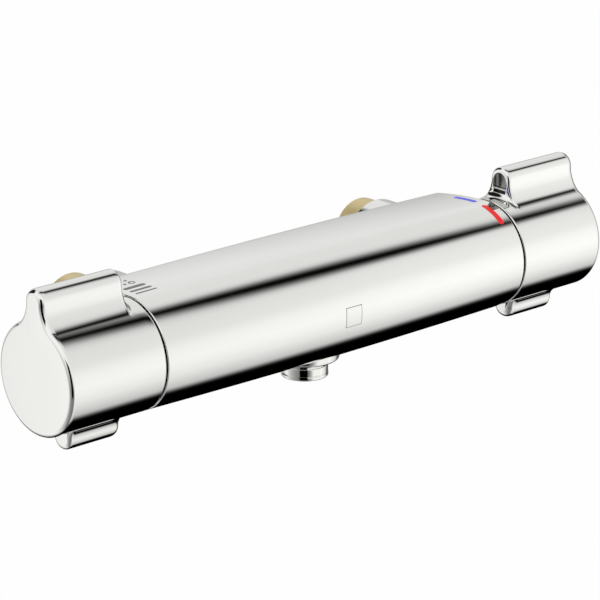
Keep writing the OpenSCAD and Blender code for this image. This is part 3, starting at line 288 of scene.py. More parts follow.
def body_outline(x, inset=0.0):
    """The section of the body at x: a round front and a flat top, back and underside."""
    r = bar_radius(x) - inset
    depth = max(back_at(x) - inset, 0.05)
    edge = min(BACK_EDGE_R, depth * 0.5)
    crease = min(sqrt(max(r ** 2 - depth ** 2, 0.0)) or r * 0.3, r - edge)
    half = [(-r * sin(t), r * cos(t)) for t in span(pi / 2, 0, 48)]
    half += [(y, r - crown_drop(y)) for y in span(0, depth - edge, 16)[1:]]
    top = r - crown_drop(depth - edge)
    half += [(depth - edge + edge * sin(t), top - edge + edge * cos(t)) for t in span(0, pi / 2, 6)[1:]]
    half += [(depth, z) for z in span(top - edge, crease, 4)[1:]]
    half += [(depth, z) for z in span(crease, 0, 12)[1:]]
    points = half + [(y, -z) for y, z in reversed(half[1:-1])]
    return [(y * max(1, r / hypot(y, z)), z * max(1, r / hypot(y, z))) for y, z in points]


def body_stations():
    """Places along the body: close together where its rear ends curve."""
    flat_end = BODY_END - END_PLAN_R + sqrt(END_PLAN_R ** 2 - (BACK_DEPTH - END_PLAN_Y) ** 2)
    start = asin((flat_end - BODY_END + END_PLAN_R) / END_PLAN_R)
    curve = [BODY_END - END_PLAN_R + END_PLAN_R * sin(t) for t in span(start, pi / 2, 40)]
    right = span(0, flat_end, 30) + [x for x in curve[1:] if x < BODY_END - RIM_R]
    return [-x for x in reversed(right[1:])] + right


def make_body():
    def section(x, inset=0.0):
        return [place(x, y, z) for y, z in body_outline(x, inset)]

    def rim(side, turns):
        return [section(side * (BODY_END - RIM_R * (1 - sin(t))), RIM_R * (1 - cos(t))) for t in turns]

    def round_ring(x, r):
        return [place(x, y * r / hypot(y, z), z * r / hypot(y, z)) for y, z in body_outline(0)]

    nose_x, nose_r = CARTRIDGE_NOSE
    flow_x, flow_r = FLOW_ROOM
    inner = [(BODY_END, HUB_R), (HUB_END, HUB_R), (HUB_END, CARTRIDGE_R), (CARTRIDGE_SEAT, CARTRIDGE_R),
             (CARTRIDGE_SEAT, nose_r), (nose_x, nose_r), (nose_x, MIXED_R), (flow_x, MIXED_R),
             (flow_x, flow_r), (-HUB_END, flow_r), (-HUB_END, HUB_R), (-BODY_END, HUB_R)]
    rings = [section(x) for x in body_stations()] + rim(1, span(0, pi / 2, 4))
    rings += [round_ring(x, r) for x, r in inner] + rim(-1, span(pi / 2, 0, 4))
    body = skin("body_shell", rings, loop=True)

    reach = [(BOSS_ROOT, BOSS_R)]
    reach += rounded(BOSS_REACH - BOSS_EDGE_R, BOSS_R, BOSS_REACH, BOSS_R - BOSS_EDGE_R, "along")
    for side in (-1, 1):
        at = (side * BOSS_X, 0, 0)
        combine(body, turned("boss", from_axis(reach), at, "y"), "UNION")
        combine(body, turned("bore", from_axis(INLET_HOLE), at, "y"), "DIFFERENCE")
    edge = OUTLET_BOSS_EDGE_R
    boss = [(OUTLET_BOSS_ROOT, OUTLET_BOSS_R)]
    boss += rounded(OUTLET_BOSS_Z + edge, OUTLET_BOSS_R, OUTLET_BOSS_Z, OUTLET_BOSS_R - edge, "along")
    at = (0, OUTLET_Y, 0)
    combine(body, turned("boss", from_axis(boss), at, "z"), "UNION")
    combine(body, turned("hole", from_axis(OUTLET_HOLE), at, "z"), "DIFFERENCE")
    return smooth(body)


# Handles

def fin_half(fin, inset, steps=20):
    """Half the outline of a finger fin, as (sideways, up) from its tip down to the round of the bar."""
    r, tip, flank = BAR_R - inset, fin["tip"] - inset, fin["flank"] + inset
    tip_z = fin["top"] - fin["tip"]
    z = ((BAR_R + fin["flank"]) ** 2 - (fin["tip"] + fin["flank"]) ** 2 + tip_z ** 2) / (2 * tip_z)
    y = sqrt((BAR_R + fin["flank"]) ** 2 - z ** 2)
    turn = atan2(tip_z - z, y)
    crest = [(tip * sin(t), tip_z + tip * cos(t)) for t in span(0, pi / 2 + turn, steps)]
    high, low = atan2(tip_z - z, -y) % (2 * pi), atan2(-z, -y) % (2 * pi)
    side = [(y + flank * cos(t), z + flank * sin(t)) for t in span(high, low, steps)]
    return crest + side[1:], acos(z / hypot(y, z))


def handle_outline(inset, fin_inset=None, low_inset=None, rise=1.0):
    """The handle's section: a round with fins.

    Each fin is drawn in by its own inset, or left out where that is None. rise is the share of its full
    height that the tall fin has.
    """
    r = BAR_R - inset
    upper, top_angle = fin_half(FIN, fin_inset or 0.0)
    lower, low_angle = fin_half(LOW_FIN, low_inset or 0.0)
    flat = [(r * sin(t), r * cos(t)) for t in span(0, top_angle, len(upper) - 1)]
    if fin_inset is None:
        rise = 0.0
    upper = [(a + (c - a) * rise, b + (d - b) * rise) for (a, b), (c, d) in zip(flat, upper)]
    if low_inset is None:
        lower = [(r * sin(t), r * cos(t)) for t in span(0, low_angle, len(lower) - 1)]
    side = [(r * sin(t), r * cos(t)) for t in span(top_angle, pi - low_angle, 40)][1:-1]
    half = upper + side + [(y, -z) for y, z in reversed(lower)]
    points = half + [(-y, z) for y, z in reversed(half[1:-1])]
    return [(y * max(1, r / hypot(y, z)), z * max(1, r / hypot(y, z))) for y, z in points]


def brick(name, side, xs, half, zs):
    """A plain block across the handle's axis, for cutting."""
    corners = [(-half, zs[0]), (half, zs[0]), (half, zs[1]), (-half, zs[1])]
    return skin(name, [[place(side * x, y, z) for y, z in corners] for x in xs], caps=True)


def channel_cutter(side):
    """The button's channel in the fin, with the tongue's slot and the finger recess below its mouth."""
    fin_x = HANDLE_IN + FIN["start"]
    mid, half, floor = CHANNEL["mid"], CHANNEL["half"], CHANNEL["floor"]
    outline = [(half * cos(t), mid + half * sin(t)) for t in span(0, pi, 24)]
    outline += [(-half, floor), (half, floor)]
    ends = (fin_x - OVER, fin_x + CHANNEL["length"])
    channel = skin("channel", [[place(side * x, y, z) for y, z in outline] for x in ends], caps=True)
    slot = brick("slot", side, (fin_x + SLOT["start"], fin_x + SLOT["end"]), SLOT["half"],
                 (SLOT["bottom"], floor + 0.2))
    recess = brick("recess", side, (fin_x - OVER, fin_x + RECESS["depth"]), RECESS["half"],
                   (RECESS["bottom"], RECESS["top"]))
    combine(channel, slot, "UNION")
    combine(channel, recess, "UNION")
    return channel


def edge_inset(x, length):
    """How far the round of the face's edge has drawn in at x when it starts that length before the face."""
    share = min(1.0, max(0.0, (x - HANDLE_OUT + length) / length))
    return FACE_EDGE_R * (1 - sqrt(1 - share ** 2))


def make_handle(name, side):
    """side is 1 for the temperature handle on the right and -1 for the flow handle on the left."""
    fin_x = HANDLE_IN + FIN["start"]
    low_x = HANDLE_IN + LOW_FIN["start"]
    low_end = low_x + LOW_FIN["length"]
    turns = span(0, pi / 2, 6)
    sections = []

    def section(x, *insets):
        sections.append([place(side * x, y, z) for y, z in handle_outline(*insets)])

    set_back, rim_r = HANDLE_RIM[side]
    for t in reversed(turns):
        section(HANDLE_IN + set_back + rim_r * (1 - sin(t)), rim_r * (1 - cos(t)))
    for s in span(0, 1, 8):
        height = FIN_FOOT * (1 - sqrt(1 - s ** 2))
        section(fin_x - FIN_FOOT * (1 - s), 0, 0, None, height / (FIN_TOP - BAR_R))
    long_r, round_r = FIN_LIP
    for t in turns:
        section(fin_x + long_r * (1 - cos(t)), 0, round_r * (1 - sin(t)))
    section(low_x, 0, 0)
    long_r, round_r = LOW_FIN_INNER
    for t in turns:
        section(low_x + long_r * (1 - cos(t)), 0, 0, round_r * (1 - sin(t)))
    long_r, round_r = LOW_FIN_OUTER
    for t in turns:
        section(low_end - long_r * (1 - sin(t)), 0, 0, round_r * (1 - cos(t)))
    section(low_end, 0, 0)
    for x in span(HANDLE_OUT - FIN_EDGE_LENGTH, HANDLE_OUT - FACE_EDGE_R, 3)[:-1]:
        section(x, 0, edge_inset(x, FIN_EDGE_LENGTH))
    for t in turns:
        x = HANDLE_OUT - FACE_EDGE_R * (1 - sin(t))
        section(x, edge_inset(x, FACE_EDGE_R), edge_inset(x, FIN_EDGE_LENGTH))
    for share in FACE_RINGS:
        edge = handle_outline(FACE_EDGE_R, FACE_EDGE_R)
        sections.append([place(side * HANDLE_OUT, y * share, z * share) for y, z in edge])
    handle = skin(name, sections, caps=True)

    cavity_end = HANDLE_OUT - HANDLE_END_T
    tube_in, tube_out, tube_start = SOCKET_TUBE
    tube_x = HANDLE_IN + tube_start
    hollow = [(HANDLE_IN - OVER, HANDLE_CAVITY_R), (cavity_end, HANDLE_CAVITY_R), (cavity_end, tube_out),
              (tube_x, tube_out), (tube_x, tube_in), (cavity_end, tube_in)]
    cavity = turned("cavity", from_axis([(side * x, r) for x, r in hollow]), (0, 0, 0), "x")
    combine(handle, cavity, "DIFFERENCE")
    combine(handle, channel_cutter(side), "DIFFERENCE")
    return smooth(handle)


def dull_channel(handle, side):
    """Plating is duller in the depth of the channel than outside. The finger recess is painted near black, as
    painted shade for its dark hollow.

    A face belongs to the place where its middle lies.
    """
    # The second extra slot holds the near-black painted shade of the finger recess
    satin_face, painted_shade_face = 1, 2
    handle.data.materials.append(satin)
    handle.data.materials.append(painted_shade_recess)
    half, near = CHANNEL["half"], DULL["near"]
    mouth = HANDLE_IN + FIN["start"] + DULL["mouth"]
    for face in handle.data.polygons:
        x, y, z = face.center / MM
        x, y = side * x, abs(y - AXIS_Y)
        if not mouth < x < HANDLE_OUT - DULL["face"]:
            continue
        in_recess = y < half - DULL["flank"] and RECESS["bottom"] - near < z < RECESS["top"] + near
        in_round = hypot(y, z - CHANNEL["mid"]) < half + near
        below_round = y < half + DULL["beside"] and SLOT["bottom"] - DULL["under"] < z < CHANNEL["mid"]
        # Faces inside the finger recess get the painted shade
        if in_recess and x < mouth + RECESS["depth"]:
            face.material_index = painted_shade_face
        elif in_round or below_round:
            face.material_index = satin_face


# Outlet nipple

def make_nipple():
    """A nipple with a smooth ring over its hose thread, and a lip below."""
    top, bottom = nipple_high.z, nipple_low.z + NIPPLE_SHORT
    bore, neck, groove, lip, key = [NIPPLE[part] for part in ("bore", "neck", "groove", "lip", "key")]
    ring_r, edge, chamfer = (nipple_high.x - nipple_low.x) / 2 - RING["slim"], RING["edge_r"], RING["chamfer"]
    ring_top, ring_bottom = OUTLET_BOSS_Z - RING["below_boss"], bottom + RING["above_end"]
    groove_end, key_end = ring_bottom - RING["groove"], bottom + NIPPLE_KEY_DEPTH
    profile = [(top, bore), (top, neck), (top - NIPPLE_CHAMFER, NIPPLE["top"]),
               (OUTLET_BOSS_Z, NIPPLE["top"]), (OUTLET_BOSS_Z, neck), (ring_top, neck)]
    profile += rounded(ring_top, ring_r - edge, ring_top - edge, ring_r, "out")
    profile += [(z, ring_r) for z in span(ring_top - edge, ring_bottom + chamfer, 3)[1:]]
    profile += [(ring_bottom, ring_r - chamfer), (ring_bottom, groove), (groove_end, groove),
                (groove_end, lip)]
    profile += rounded(bottom + NIPPLE_LIP_R, lip, bottom, lip - NIPPLE_LIP_R, "along")
    profile += [(bottom, key + NIPPLE_LIP_R), (bottom + NIPPLE_LIP_R, key), (key_end, key), (key_end, bore)]
    return smooth(turned("hose_nipple", profile, (0, OUTLET_Y, 0), "z"))


# Materials

class Nodes:
    """Short names for building one material's or the world's nodes."""

    def __init__(self, tree):
        self.tree = tree
        tree.nodes.clear()

    def add(self, kind, inputs=None, **settings):
        node = self.tree.nodes.new(kind)
        for name, value in settings.items():
            setattr(node, name, value)
        for name, value in (inputs or {}).items():
            self.put(node.inputs[name], value)
        return node

    def put(self, socket, value):
        if isinstance(value, bpy.types.NodeSocket):
            self.tree.links.new(value, socket)
        else:
            socket.default_value = value

    def math(self, operation, *values):
        node = self.add("ShaderNodeMath", operation=operation)
        for i, value in enumerate(values):
            self.put(node.inputs[i], value)
        return node.outputs[0]

    def stretch(self, value, from_low, from_high, to_low=0.0, to_high=1.0):
        """Maps one range of values to another and stops at its ends."""
        node = self.add("ShaderNodeMapRange", {"Value": value, "From Min": from_low, "From Max": from_high,
                                               "To Min": to_low, "To Max": to_high})
        return node.outputs["Result"]

    def mix(self, share, first, second, blend="MIX"):
        """Blends two colours: the Mix node has its colours on sockets 6 and 7."""
        node = self.add("ShaderNodeMix", {0: share, 6: first, 7: second}, data_type="RGBA", blend_type=blend)
        return node.outputs[2]

    def scale(self, colour, factor):
        node = self.add("ShaderNodeVectorMath", {0: colour, "Scale": factor}, operation="SCALE")
        return node.outputs["Vector"]

    def ramp(self, value, stops):
        node = self.add("ShaderNodeValToRGB", {"Fac": value})
        line = node.color_ramp
        while len(line.elements) < len(stops):
            line.elements.new(0.5)
        for element, (position, colour) in zip(line.elements, stops):
            element.position = position
            element.color = (*colour, 1)
        return node.outputs["Color"]


def grey(level):
    """A grey that shows as this level from 0 to 255, in linear light."""
    v = level / 255
    return v / 12.92 if v <= 0.04045 else ((v + 0.055) / 1.055) ** 2.4


def rgb(r, g, b):
    return (grey(r), grey(g), grey(b))


def shade(colour, factor):
    return tuple(min(1.0, c * factor) for c in colour)


def material(name, colour, metallic=0.0, roughness=0.4, spread=0.1, mottle=0.06, mottle_scale=60,
             bump=0.02, bump_scale=900, lines=None, coat=0.0):
    """A procedural surface: mottled colour, uneven roughness and a fine grain.

    lines=(axis, scale, strength) adds the fine rings that a lathe or a brush leaves.
    """
    made = bpy.data.materials.new(name)
    made.use_nodes = True
    n = Nodes(made.node_tree)
    here = n.add("ShaderNodeTexCoord").outputs["Object"]
    patches = n.add("ShaderNodeTexNoise", {"Vector": here, "Scale": mottle_scale, "Detail": 4.0})
    tones = [(0.3, shade(colour, 1 - mottle)), (0.7, shade(colour, 1 + mottle))]
    tone = n.ramp(patches.outputs["Fac"], tones)
    smears = n.add("ShaderNodeTexNoise", {"Vector": here, "Scale": mottle_scale * 2.7, "Detail": 6.0})
    rough = n.stretch(smears.outputs["Fac"], 0.3, 0.7, roughness * (1 - spread), roughness * (1 + spread))
    grain = n.add("ShaderNodeTexNoise", {"Vector": here, "Scale": bump_scale, "Detail": 3.0})
    height = grain.outputs["Fac"]
    if lines:
        axis, scale, strength = lines
        rings = n.add("ShaderNodeTexWave", {"Vector": here, "Scale": scale, "Distortion": 1.2, "Detail": 2.0},
                      wave_type="BANDS", bands_direction=axis)
        height = n.math("MULTIPLY_ADD", rings.outputs["Fac"], strength, height)
    relief = n.add("ShaderNodeBump", {"Height": height, "Strength": bump, "Distance": 0.0002})
    surface = n.add("ShaderNodeBsdfPrincipled", {
        "Base Color": tone, "Metallic": metallic, "Roughness": rough,
        "Normal": relief.outputs["Normal"], "Coat Weight": coat, "Coat Roughness": 0.05})
    n.add("ShaderNodeOutputMaterial", {"Surface": surface.outputs["BSDF"]})
    return made


CHROME_LEVEL = 247
# Each line: name, colour, metallic, roughness and its spread, mottle and its scale, bump and its scale, lines
chrome = material("chrome", rgb(CHROME_LEVEL, CHROME_LEVEL, 244), 1.0, 0.035, 0.3, 0.004, 30, 0.004, 400)
satin = material("satin_chrome", rgb(226, 226, 222), 1.0, 0.24, 0.2, 0.01, 60, 0.01, 900)
dull_chrome = material("dull_chrome", rgb(168, 168, 165), 1.0, 0.5, 0.1, 0.01, 60, 0.01, 900)
# Near black and not metal: painted shade that stands for the dark hollow of the finger recess, not a colour
# of its own
painted_shade_recess = material("painted_shade_recess", rgb(16, 16, 16), 0.0, 0.5, 0.1, 0.02, 100, 0.02, 900)
badge_metal = material("badge_metal", rgb(244, 244, 241), 1.0, 0.1, 0.2, 0.01, 120, 0.02, 3000,
                       ("Z", 900, 0.3))
pointer_metal = material("pointer_metal", rgb(204, 203, 200), 0.3, 0.45, 0.2, 0.02, 120, 0.02, 2000)
brass = material("brass", rgb(216, 197, 144), 0.4, 0.36, 0.15, 0.03, 120, 0.02, 2500, ("Y", 700, 0.4))
inner_brass = material("inner_brass", rgb(216, 184, 116), 1.0, 0.3, 0.3, 0.08, 150, 0.06, 2500,
                       ("X", 700, 0.8))
steel = material("steel", rgb(200, 200, 202), 1.0, 0.26, 0.2, 0.05, 200, 0.05, 3000, ("X", 900, 0.6))
spring_steel = material("spring_steel", rgb(188, 190, 194), 1.0, 0.22, 0.2, 0.06, 300, 0.04, 3000)
copper = material("copper", rgb(214, 138, 96), 1.0, 0.3, 0.3, 0.1, 150, 0.05, 2500, ("X", 700, 0.6))
rubber = material("rubber", rgb(34, 34, 35), 0.0, 0.6, 0.2, 0.15, 200, 0.2, 2500)
white_plastic = material("white_plastic", rgb(228, 228, 224), 0.0, 0.42, 0.15, 0.02, 100, 0.08, 2000)
grey_plastic = material("grey_plastic", rgb(112, 114, 118), 0.0, 0.45, 0.15, 0.05, 100, 0.08, 2000)
ceramic = material("ceramic", rgb(236, 234, 226), 0.0, 0.14, 0.2, 0.02, 150, 0.02, 3000, coat=0.6)
red_enamel = material("red_enamel", rgb(240, 20, 24), 0.0, 0.35, 0.2, 0.03, 200, 0.03, 2500)
blue_enamel = material("blue_enamel", rgb(70, 70, 240), 0.0, 0.35, 0.2, 0.03, 200, 0.03, 2500)
grey_enamel = material("grey_enamel", rgb(96, 98, 100), 0.0, 0.35, 0.2, 0.04, 200, 0.03, 2500)
line_grey = material("line_grey", rgb(120, 121, 120), 0.0, 0.4, 0.2, 0.04, 200, 0.03, 2500)

FINISH = {
    "chrome_plate": chrome, "handle_chrome": chrome, "button_plate": dull_chrome,
    "badge_plate": badge_metal, "brass": brass, "inner_brass": inner_brass, "steel": steel,
    "spring_steel": spring_steel, "seal_rubber": rubber, "white_plastic": white_plastic,
    "grey_plastic": grey_plastic, "ceramic": ceramic, "copper": copper, "red_enamel": red_enamel,
    "blue_enamel": blue_enamel, "grey_enamel": grey_enamel,
}


def dress(piece, finish):
    piece.data.materials.clear()
    piece.data.materials.append(finish)


for part in frame["record"]["subparts"]:
    dress(frame["nodes"][part["node"]], FINISH[part["material_slot"]])


def stand_for(piece, finish, slot, body, *nodes):
    """Dresses a piece, puts it in the place of CAD nodes and lets it ride on their body."""
    dress(piece, finish)
    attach(piece, body)
    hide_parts(*nodes)


# Marks

# How far the marks are let in, and how much of their rise is gone at their long edges
MARK_SUNK = 0.3
MARK_EDGE_FALL = 0.35
MARK_SHARP = radians(50)
COIL_SHARP = radians(60)


def patch(name, to_surface, length, width, round_ends=True, rise=0.06, steps=28, across=8):
    """A thin inlay of that length and width.

    to_surface(u, v, lift) gives the point of the surface at u along and v across its middle, lifted off by
    that much.
    """
    rings = []
    for i in range(steps + 1):
        u = (i / steps - 0.5) * length
        half = width / 2
        if round_ends:
            into = max(0.0, abs(u) - (length - width) / 2)
            half = sqrt(max(half ** 2 - into ** 2, 1e-8))
        row = [to_surface(u, half * v, rise * (1 - MARK_EDGE_FALL * v ** 4)) for v in span(-1, 1, across)]
        under = [to_surface(u, half * v, -MARK_SUNK) for v in span(1, -1, across)]
        rings.append(row + under)
    return smooth(skin(name, rings, caps=True), MARK_SHARP)


def on_front(x_mid, angle_mid, radius):
    """The surface of the bar around an angle forward of the vertical; u runs forward and v along the bar."""
    def to_surface(u, v, lift):
        x = x_mid + v
        r = radius(x) + lift
        t = angle_mid + u / radius(x)
        return place(x, -r * sin(t), r * cos(t))
    return to_surface


def top_at(x, y):
    """Height of the flat top."""
    return bar_radius(x) - crown_drop(y)


def on_top(x_mid, y_mid):
    """The flat top; u runs along the bar and v towards the wall."""
    return lambda u, v, lift: place(x_mid + u, y_mid + v, top_at(x_mid + u, y_mid + v) + lift)


def make_ring(name, x_mid, y_mid, r_in, r_out, rise=0.06, count=40):
    """A flat ring let into the flat top."""
    rings = []
    for i in range(count):
        c, s = cos(2 * pi * i / count), sin(2 * pi * i / count)
        rings.append([place(x_mid + r * c, y_mid + r * s, top_at(x_mid, y_mid) + lift)
                      for r, lift in ((r_in, rise), (r_out, rise), (r_out, -MARK_SUNK), (r_in, -MARK_SUNK))])
    return smooth(skin(name, rings, loop=True), MARK_SHARP)


def along_end(r_mid, y_mid):
    """The flat top along its round right end; u runs towards the wall and v outwards."""
    def to_surface(u, v, lift):
        start = asin((y_mid - END_PLAN_Y) / r_mid)
        t = start + u / r_mid
        x = BODY_END - END_PLAN_R + (r_mid + v) * cos(t)
        y = END_PLAN_Y + (r_mid + v) * sin(t)
        return place(x, y, top_at(x, y) + lift)
    return to_surface


body = make_body()
stand_for(body, chrome, "chrome_plate", "mixer", "body_casting")
for name, side, control, node in (("flow_grip", -1, "flow_control", "flow_handle"),
                                  ("temperature_grip", 1, "temperature_control", "temperature_handle")):
    handle = make_handle(name, side)
    stand_for(handle, chrome, "handle_chrome", control, node)
    dull_channel(handle, side)
nipple = make_nipple()
stand_for(nipple, chrome, "chrome_plate", "mixer", "hose_outlet_nipple")

# A red stripe over the front edge of the flat top, and a blue one along its round end
RED = {"x": 91.7, "middle": radians(24.9), "sweep": radians(34), "width": 2.8}
BLUE = {"r": 40.3, "y": 7.4, "length": 11.8, "width": 2.4}
red_ground = on_front(RED["x"], RED["middle"], bar_radius)
red = patch("red_stripe", red_ground, RED["sweep"] * BAR_R, RED["width"])
stand_for(red, red_enamel, "red_enamel", "mixer", "red_mark")
blue = patch("blue_stripe", along_end(BLUE["r"], BLUE["y"]), BLUE["length"], BLUE["width"])
stand_for(blue, blue_enamel, "blue_enamel", "mixer", "blue_mark")

# Three bars for the flow, with their places behind the axis and widths
BARS_X, BARS_LENGTH = -88.5, 10.8
BARS = [("thin_bar", 0.9, 1.0), ("middle_bar", 4.3, 1.6), ("thick_bar", 8.3, 2.3)]
# A ring and two dots for the economy setting
ECONOMY_RING = {"x_mid": -85.9, "y_mid": 13.3, "r_in": 0.95, "r_out": 1.5}
ECONOMY_DOTS = [(-89.3, 13.3), (-86.3, 16.9)]
DOT = 1.4
flow_marks = [patch(name, on_top(BARS_X, y), BARS_LENGTH, width) for name, y, width in BARS]
flow_marks.append(make_ring("economy_ring", **ECONOMY_RING))
for i, (x, y) in enumerate(ECONOMY_DOTS):
    flow_marks.append(patch(f"economy_dot_{i + 1}", on_top(x, y), DOT, DOT))
for mark in flow_marks:
    stand_for(mark, grey_enamel, "grey_enamel", "mixer", "flow_marks")

# Springs: wound wire, and a spring on a joint gets a mesh of its own
SPRINGS = [
    # node, body, axis, wire, turns, joint, travel, whether its fixed end is the low one
    ("hot_check_valve_spring", "mixer", "y", 0.8, 4, "hot_check_open", 2.5, True),
    ("cold_check_valve_spring", "mixer", "y", 0.8, 4, "cold_check_open", 2.5, True),
    ("flow_button_spring", "flow_control", "x", 0.6, 7, "flow_button_press", 2.5, True),
    ("temperature_button_spring", "temperature_control", "x", 0.6, 7, "temperature_button_press", 2.5, False),
    ("return_spring", "mixer", "x", 1.1, 7, "regulator_travel", 1.34, True),
    ("overload_spring", "regulator", "x", 1.0, 3, None, 0.0, True),
]


def make_spring(name, node, axis, wire, turns, around=24, sides=12):
    """A helix of round wire that fills the node's box, with half a turn lying flat at each end."""
    low, high = [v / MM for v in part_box(node)]
    along = "xyz".index(axis)
    across = [i for i in range(3) if i != along]
    middle = (low + high) / 2
    r = (high[across[1]] - low[across[1]] - wire) / 2
    start, length = low[along] + wire / 2, high[along] - low[along] - wire
    rings = []
    for i in range(turns * around + 1):
        share = i / (turns * around)
        flat = 0.5 / turns
        rise = min(1.0, max(0.0, (share - flat) / (1 - 2 * flat)))
        turn = 2 * pi * i / around
        ring = []
        for j in range(sides):
            t = 2 * pi * j / sides
            out = r + wire / 2 * cos(t)
            point = Vector((0, 0, 0))
            point[across[0]] = middle[across[0]] + out * cos(turn)
            point[across[1]] = middle[across[1]] + out * sin(turn)
            point[along] = start + length * rise + wire / 2 * sin(t)
            ring.append(point * MM)
        rings.append(ring)
    return smooth(skin(name, rings, caps=True), COIL_SHARP)


for node, holder, axis, wire, turns, joint, travel, fixed_low in SPRINGS:
    spring = make_spring(node.replace("spring", "coil"), node, axis, wire, turns)
    stand_for(spring, spring_steel, "spring_steel", holder, node)
    if joint:
        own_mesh(spring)

# A bare square badge inside a thin line
BADGE = {"x": -1.0, "angle": radians(91.7), "size": 8.6, "line": 0.28}
badge_ground = on_front(BADGE["x"], BADGE["angle"], bar_radius)
badge_line = patch("badge_line", badge_ground, BADGE["size"], BADGE["size"], round_ends=False, rise=0.03)
stand_for(badge_line, line_grey, "grey_enamel", "mixer", "front_badge")
badge_plate_size = BADGE["size"] - 2 * BADGE["line"]
badge = patch("badge_plate", badge_ground, badge_plate_size, badge_plate_size, round_ends=False, rise=0.05)
stand_for(badge, badge_metal, "badge_plate", "mixer", "front_badge")

# The pointer: a flush pad between two fine ticks on the rim of the temperature handle
POINTER = {"x": HANDLE_IN + 2.3, "start": 1.0, "end": 23.0, "width": 3.0, "tick": 0.4}


def on_handle(angle):
    return on_front(POINTER["x"], radians(angle), lambda x: BAR_R)


middle = (POINTER["start"] + POINTER["end"]) / 2
sweep = radians(POINTER["end"] - POINTER["start"])
pad = patch("pointer_pad", on_handle(middle), sweep * BAR_R, POINTER["width"], round_ends=False, rise=0.02)
stand_for(pad, pointer_metal, "badge_plate", "temperature_control", "temperature_pointer")
for name, angle in (("pointer_tick_back", POINTER["start"]), ("pointer_tick_front", POINTER["end"])):
    tick = patch(name, on_handle(angle), POINTER["tick"], POINTER["width"], round_ends=False, rise=0.04)
    stand_for(tick, line_grey, "grey_enamel", "temperature_control", "temperature_pointer")


# Camera, as fitted to the photograph

CAMERA_AT = (-842.0, -942.4, 417.7)
AZIMUTH, ELEVATION, ROLL = radians(41.47), radians(18.282), radians(-0.22)
FOCAL = 3246 / 600

ahead = Vector((sin(AZIMUTH) * cos(ELEVATION), cos(AZIMUTH) * cos(ELEVATION), -sin(ELEVATION)))
right = ahead.cross(Vector((0, 0, 1))).normalized()
up = right.cross(ahead)
right, up = cos(ROLL) * right + sin(ROLL) * up, cos(ROLL) * up - sin(ROLL) * right
lens = bpy.data.cameras.new("camera")
lens.sensor_width = 36
lens.lens = FOCAL * lens.sensor_width
lens.clip_start, lens.clip_end = 0.05, 20
camera = bpy.data.objects.new("camera", lens)
aim = Matrix((right, up, -ahead)).transposed().to_4x4()
camera.matrix_world = Matrix.Translation(place(*CAMERA_AT)) @ aim
bpy.context.scene.collection.objects.link(camera)
bpy.context.scene.camera = camera


# Studio

# How light the studio looks in chrome, at each angle above the horizon in front of the mixer; 180 is the wall
STUDIO = [(-180, 222), (-155, 215), (-149, 20), (-145, 0), (-95, 0), (-89, 12), (-84, 52), (-80, 110),
          (-76, 158), (-72, 190), (-62, 206), (-44, 228), (-27, 239), (-15, 243), (-3, 241), (4, 239),
          (12, 235), (19, 229), (27, 224), (57, 218), (131, 221), (140, 224), (156.0, 225), (157.6, 230),
          (158.9, 226), (160.2, 221), (161.1, 216), (162.1, 209), (163.2, 201), (180, 215)]
# The front wall is lighter towards the right, below the overhead strip: where, and by how much
LIGHT_SIDE = {"from": 0.57, "to": 0.70, "by": 0.1, "top": radians(80), "full": radians(45)}
# The dark strip overhead, by the depth inside its nearest edge. It is drawn in the plane of the ceiling,
# where u and v are x and y as shares of the height; its edges are curves of u: constant, slope and bend
STRIP = [(-0.34, 219), (-0.24, 215), (-0.18, 209), (-0.13, 199), (-0.08, 180), (-0.04, 155), (0.0, 128),
         (0.04, 96), (0.08, 60), (0.11, 34), (0.14, 12), (0.17, 4), (0.2, 0)]
STRIP_MIDDLE = 0.8
STRIP_ENDS = (-0.14, 0.35)
STRIP_FRONT = (-0.35, -0.923, 3.0)
STRIP_BACK = (-0.008, -0.762)
# The share of a ray's way that goes up where the ceiling starts
CEILING_FROM = 0.05
# The dark place where the camera stands and the shade around it, by the bearing from the left of the mixer
STAND = [(22, 1.0), (26, 0.0), (61, 0.0), (68, 1.0)]
STAND_HEIGHT = (-29, -23, 24, 35)
HALO = [(-150, 0.45), (-95, 0.45), (-65, 0.75), (-52, 1.0), (-44, 0.9), (-33, 0.68), (-21, 0.51),
        (-10, 0.41), (0, 0.335), (11, 0.27), (20, 0.23), (62, 0.2), (68, 0.22), (73, 0.27), (77, 0.37),
        (82, 0.52), (87, 0.76), (92, 0.92), (97, 1.0), (170, 1.0), (179, 0.5)]
HALO_HEIGHT = (-15, 20)
# The right end of the studio, by the same bearing, and where it fades in
RIGHT_END = [(-180, 172), (-165, 124), (-145, 140), (-132, 200), (0, 235), (150, 235), (160, 221),
             (170, 212), (177, 183), (180, 172)]
RIGHT_END_FADE = (0.73, 0.82)
# The left end is even, and fades out towards the middle
LEFT_END_FADE = (-0.4, 0.15)
LEFT_END_LEVEL = 240
# A dark screen high on the left of the wall: the way to its middle and the angles of its soft edge
SCREEN_WAY = (-0.2516, 0.8554, 0.4529)
SCREEN_EDGE = (31, 23)
SCREEN_LIGHT = 0.01
PEAK = 1.25
# What dull surfaces get from all round
SOFT_LIGHT = 0.8


def mirrored(level):
    """The studio's light that chrome shows at this level, as a share of the peak."""
    return (grey(level) / grey(CHROME_LEVEL) / PEAK,) * 3


def by_angle(stops):
    """Stops in degrees from -180 to 180, as the places of a ramp that goes once round."""
    return [(angle / 360 + 0.5, value) for angle, value in stops]


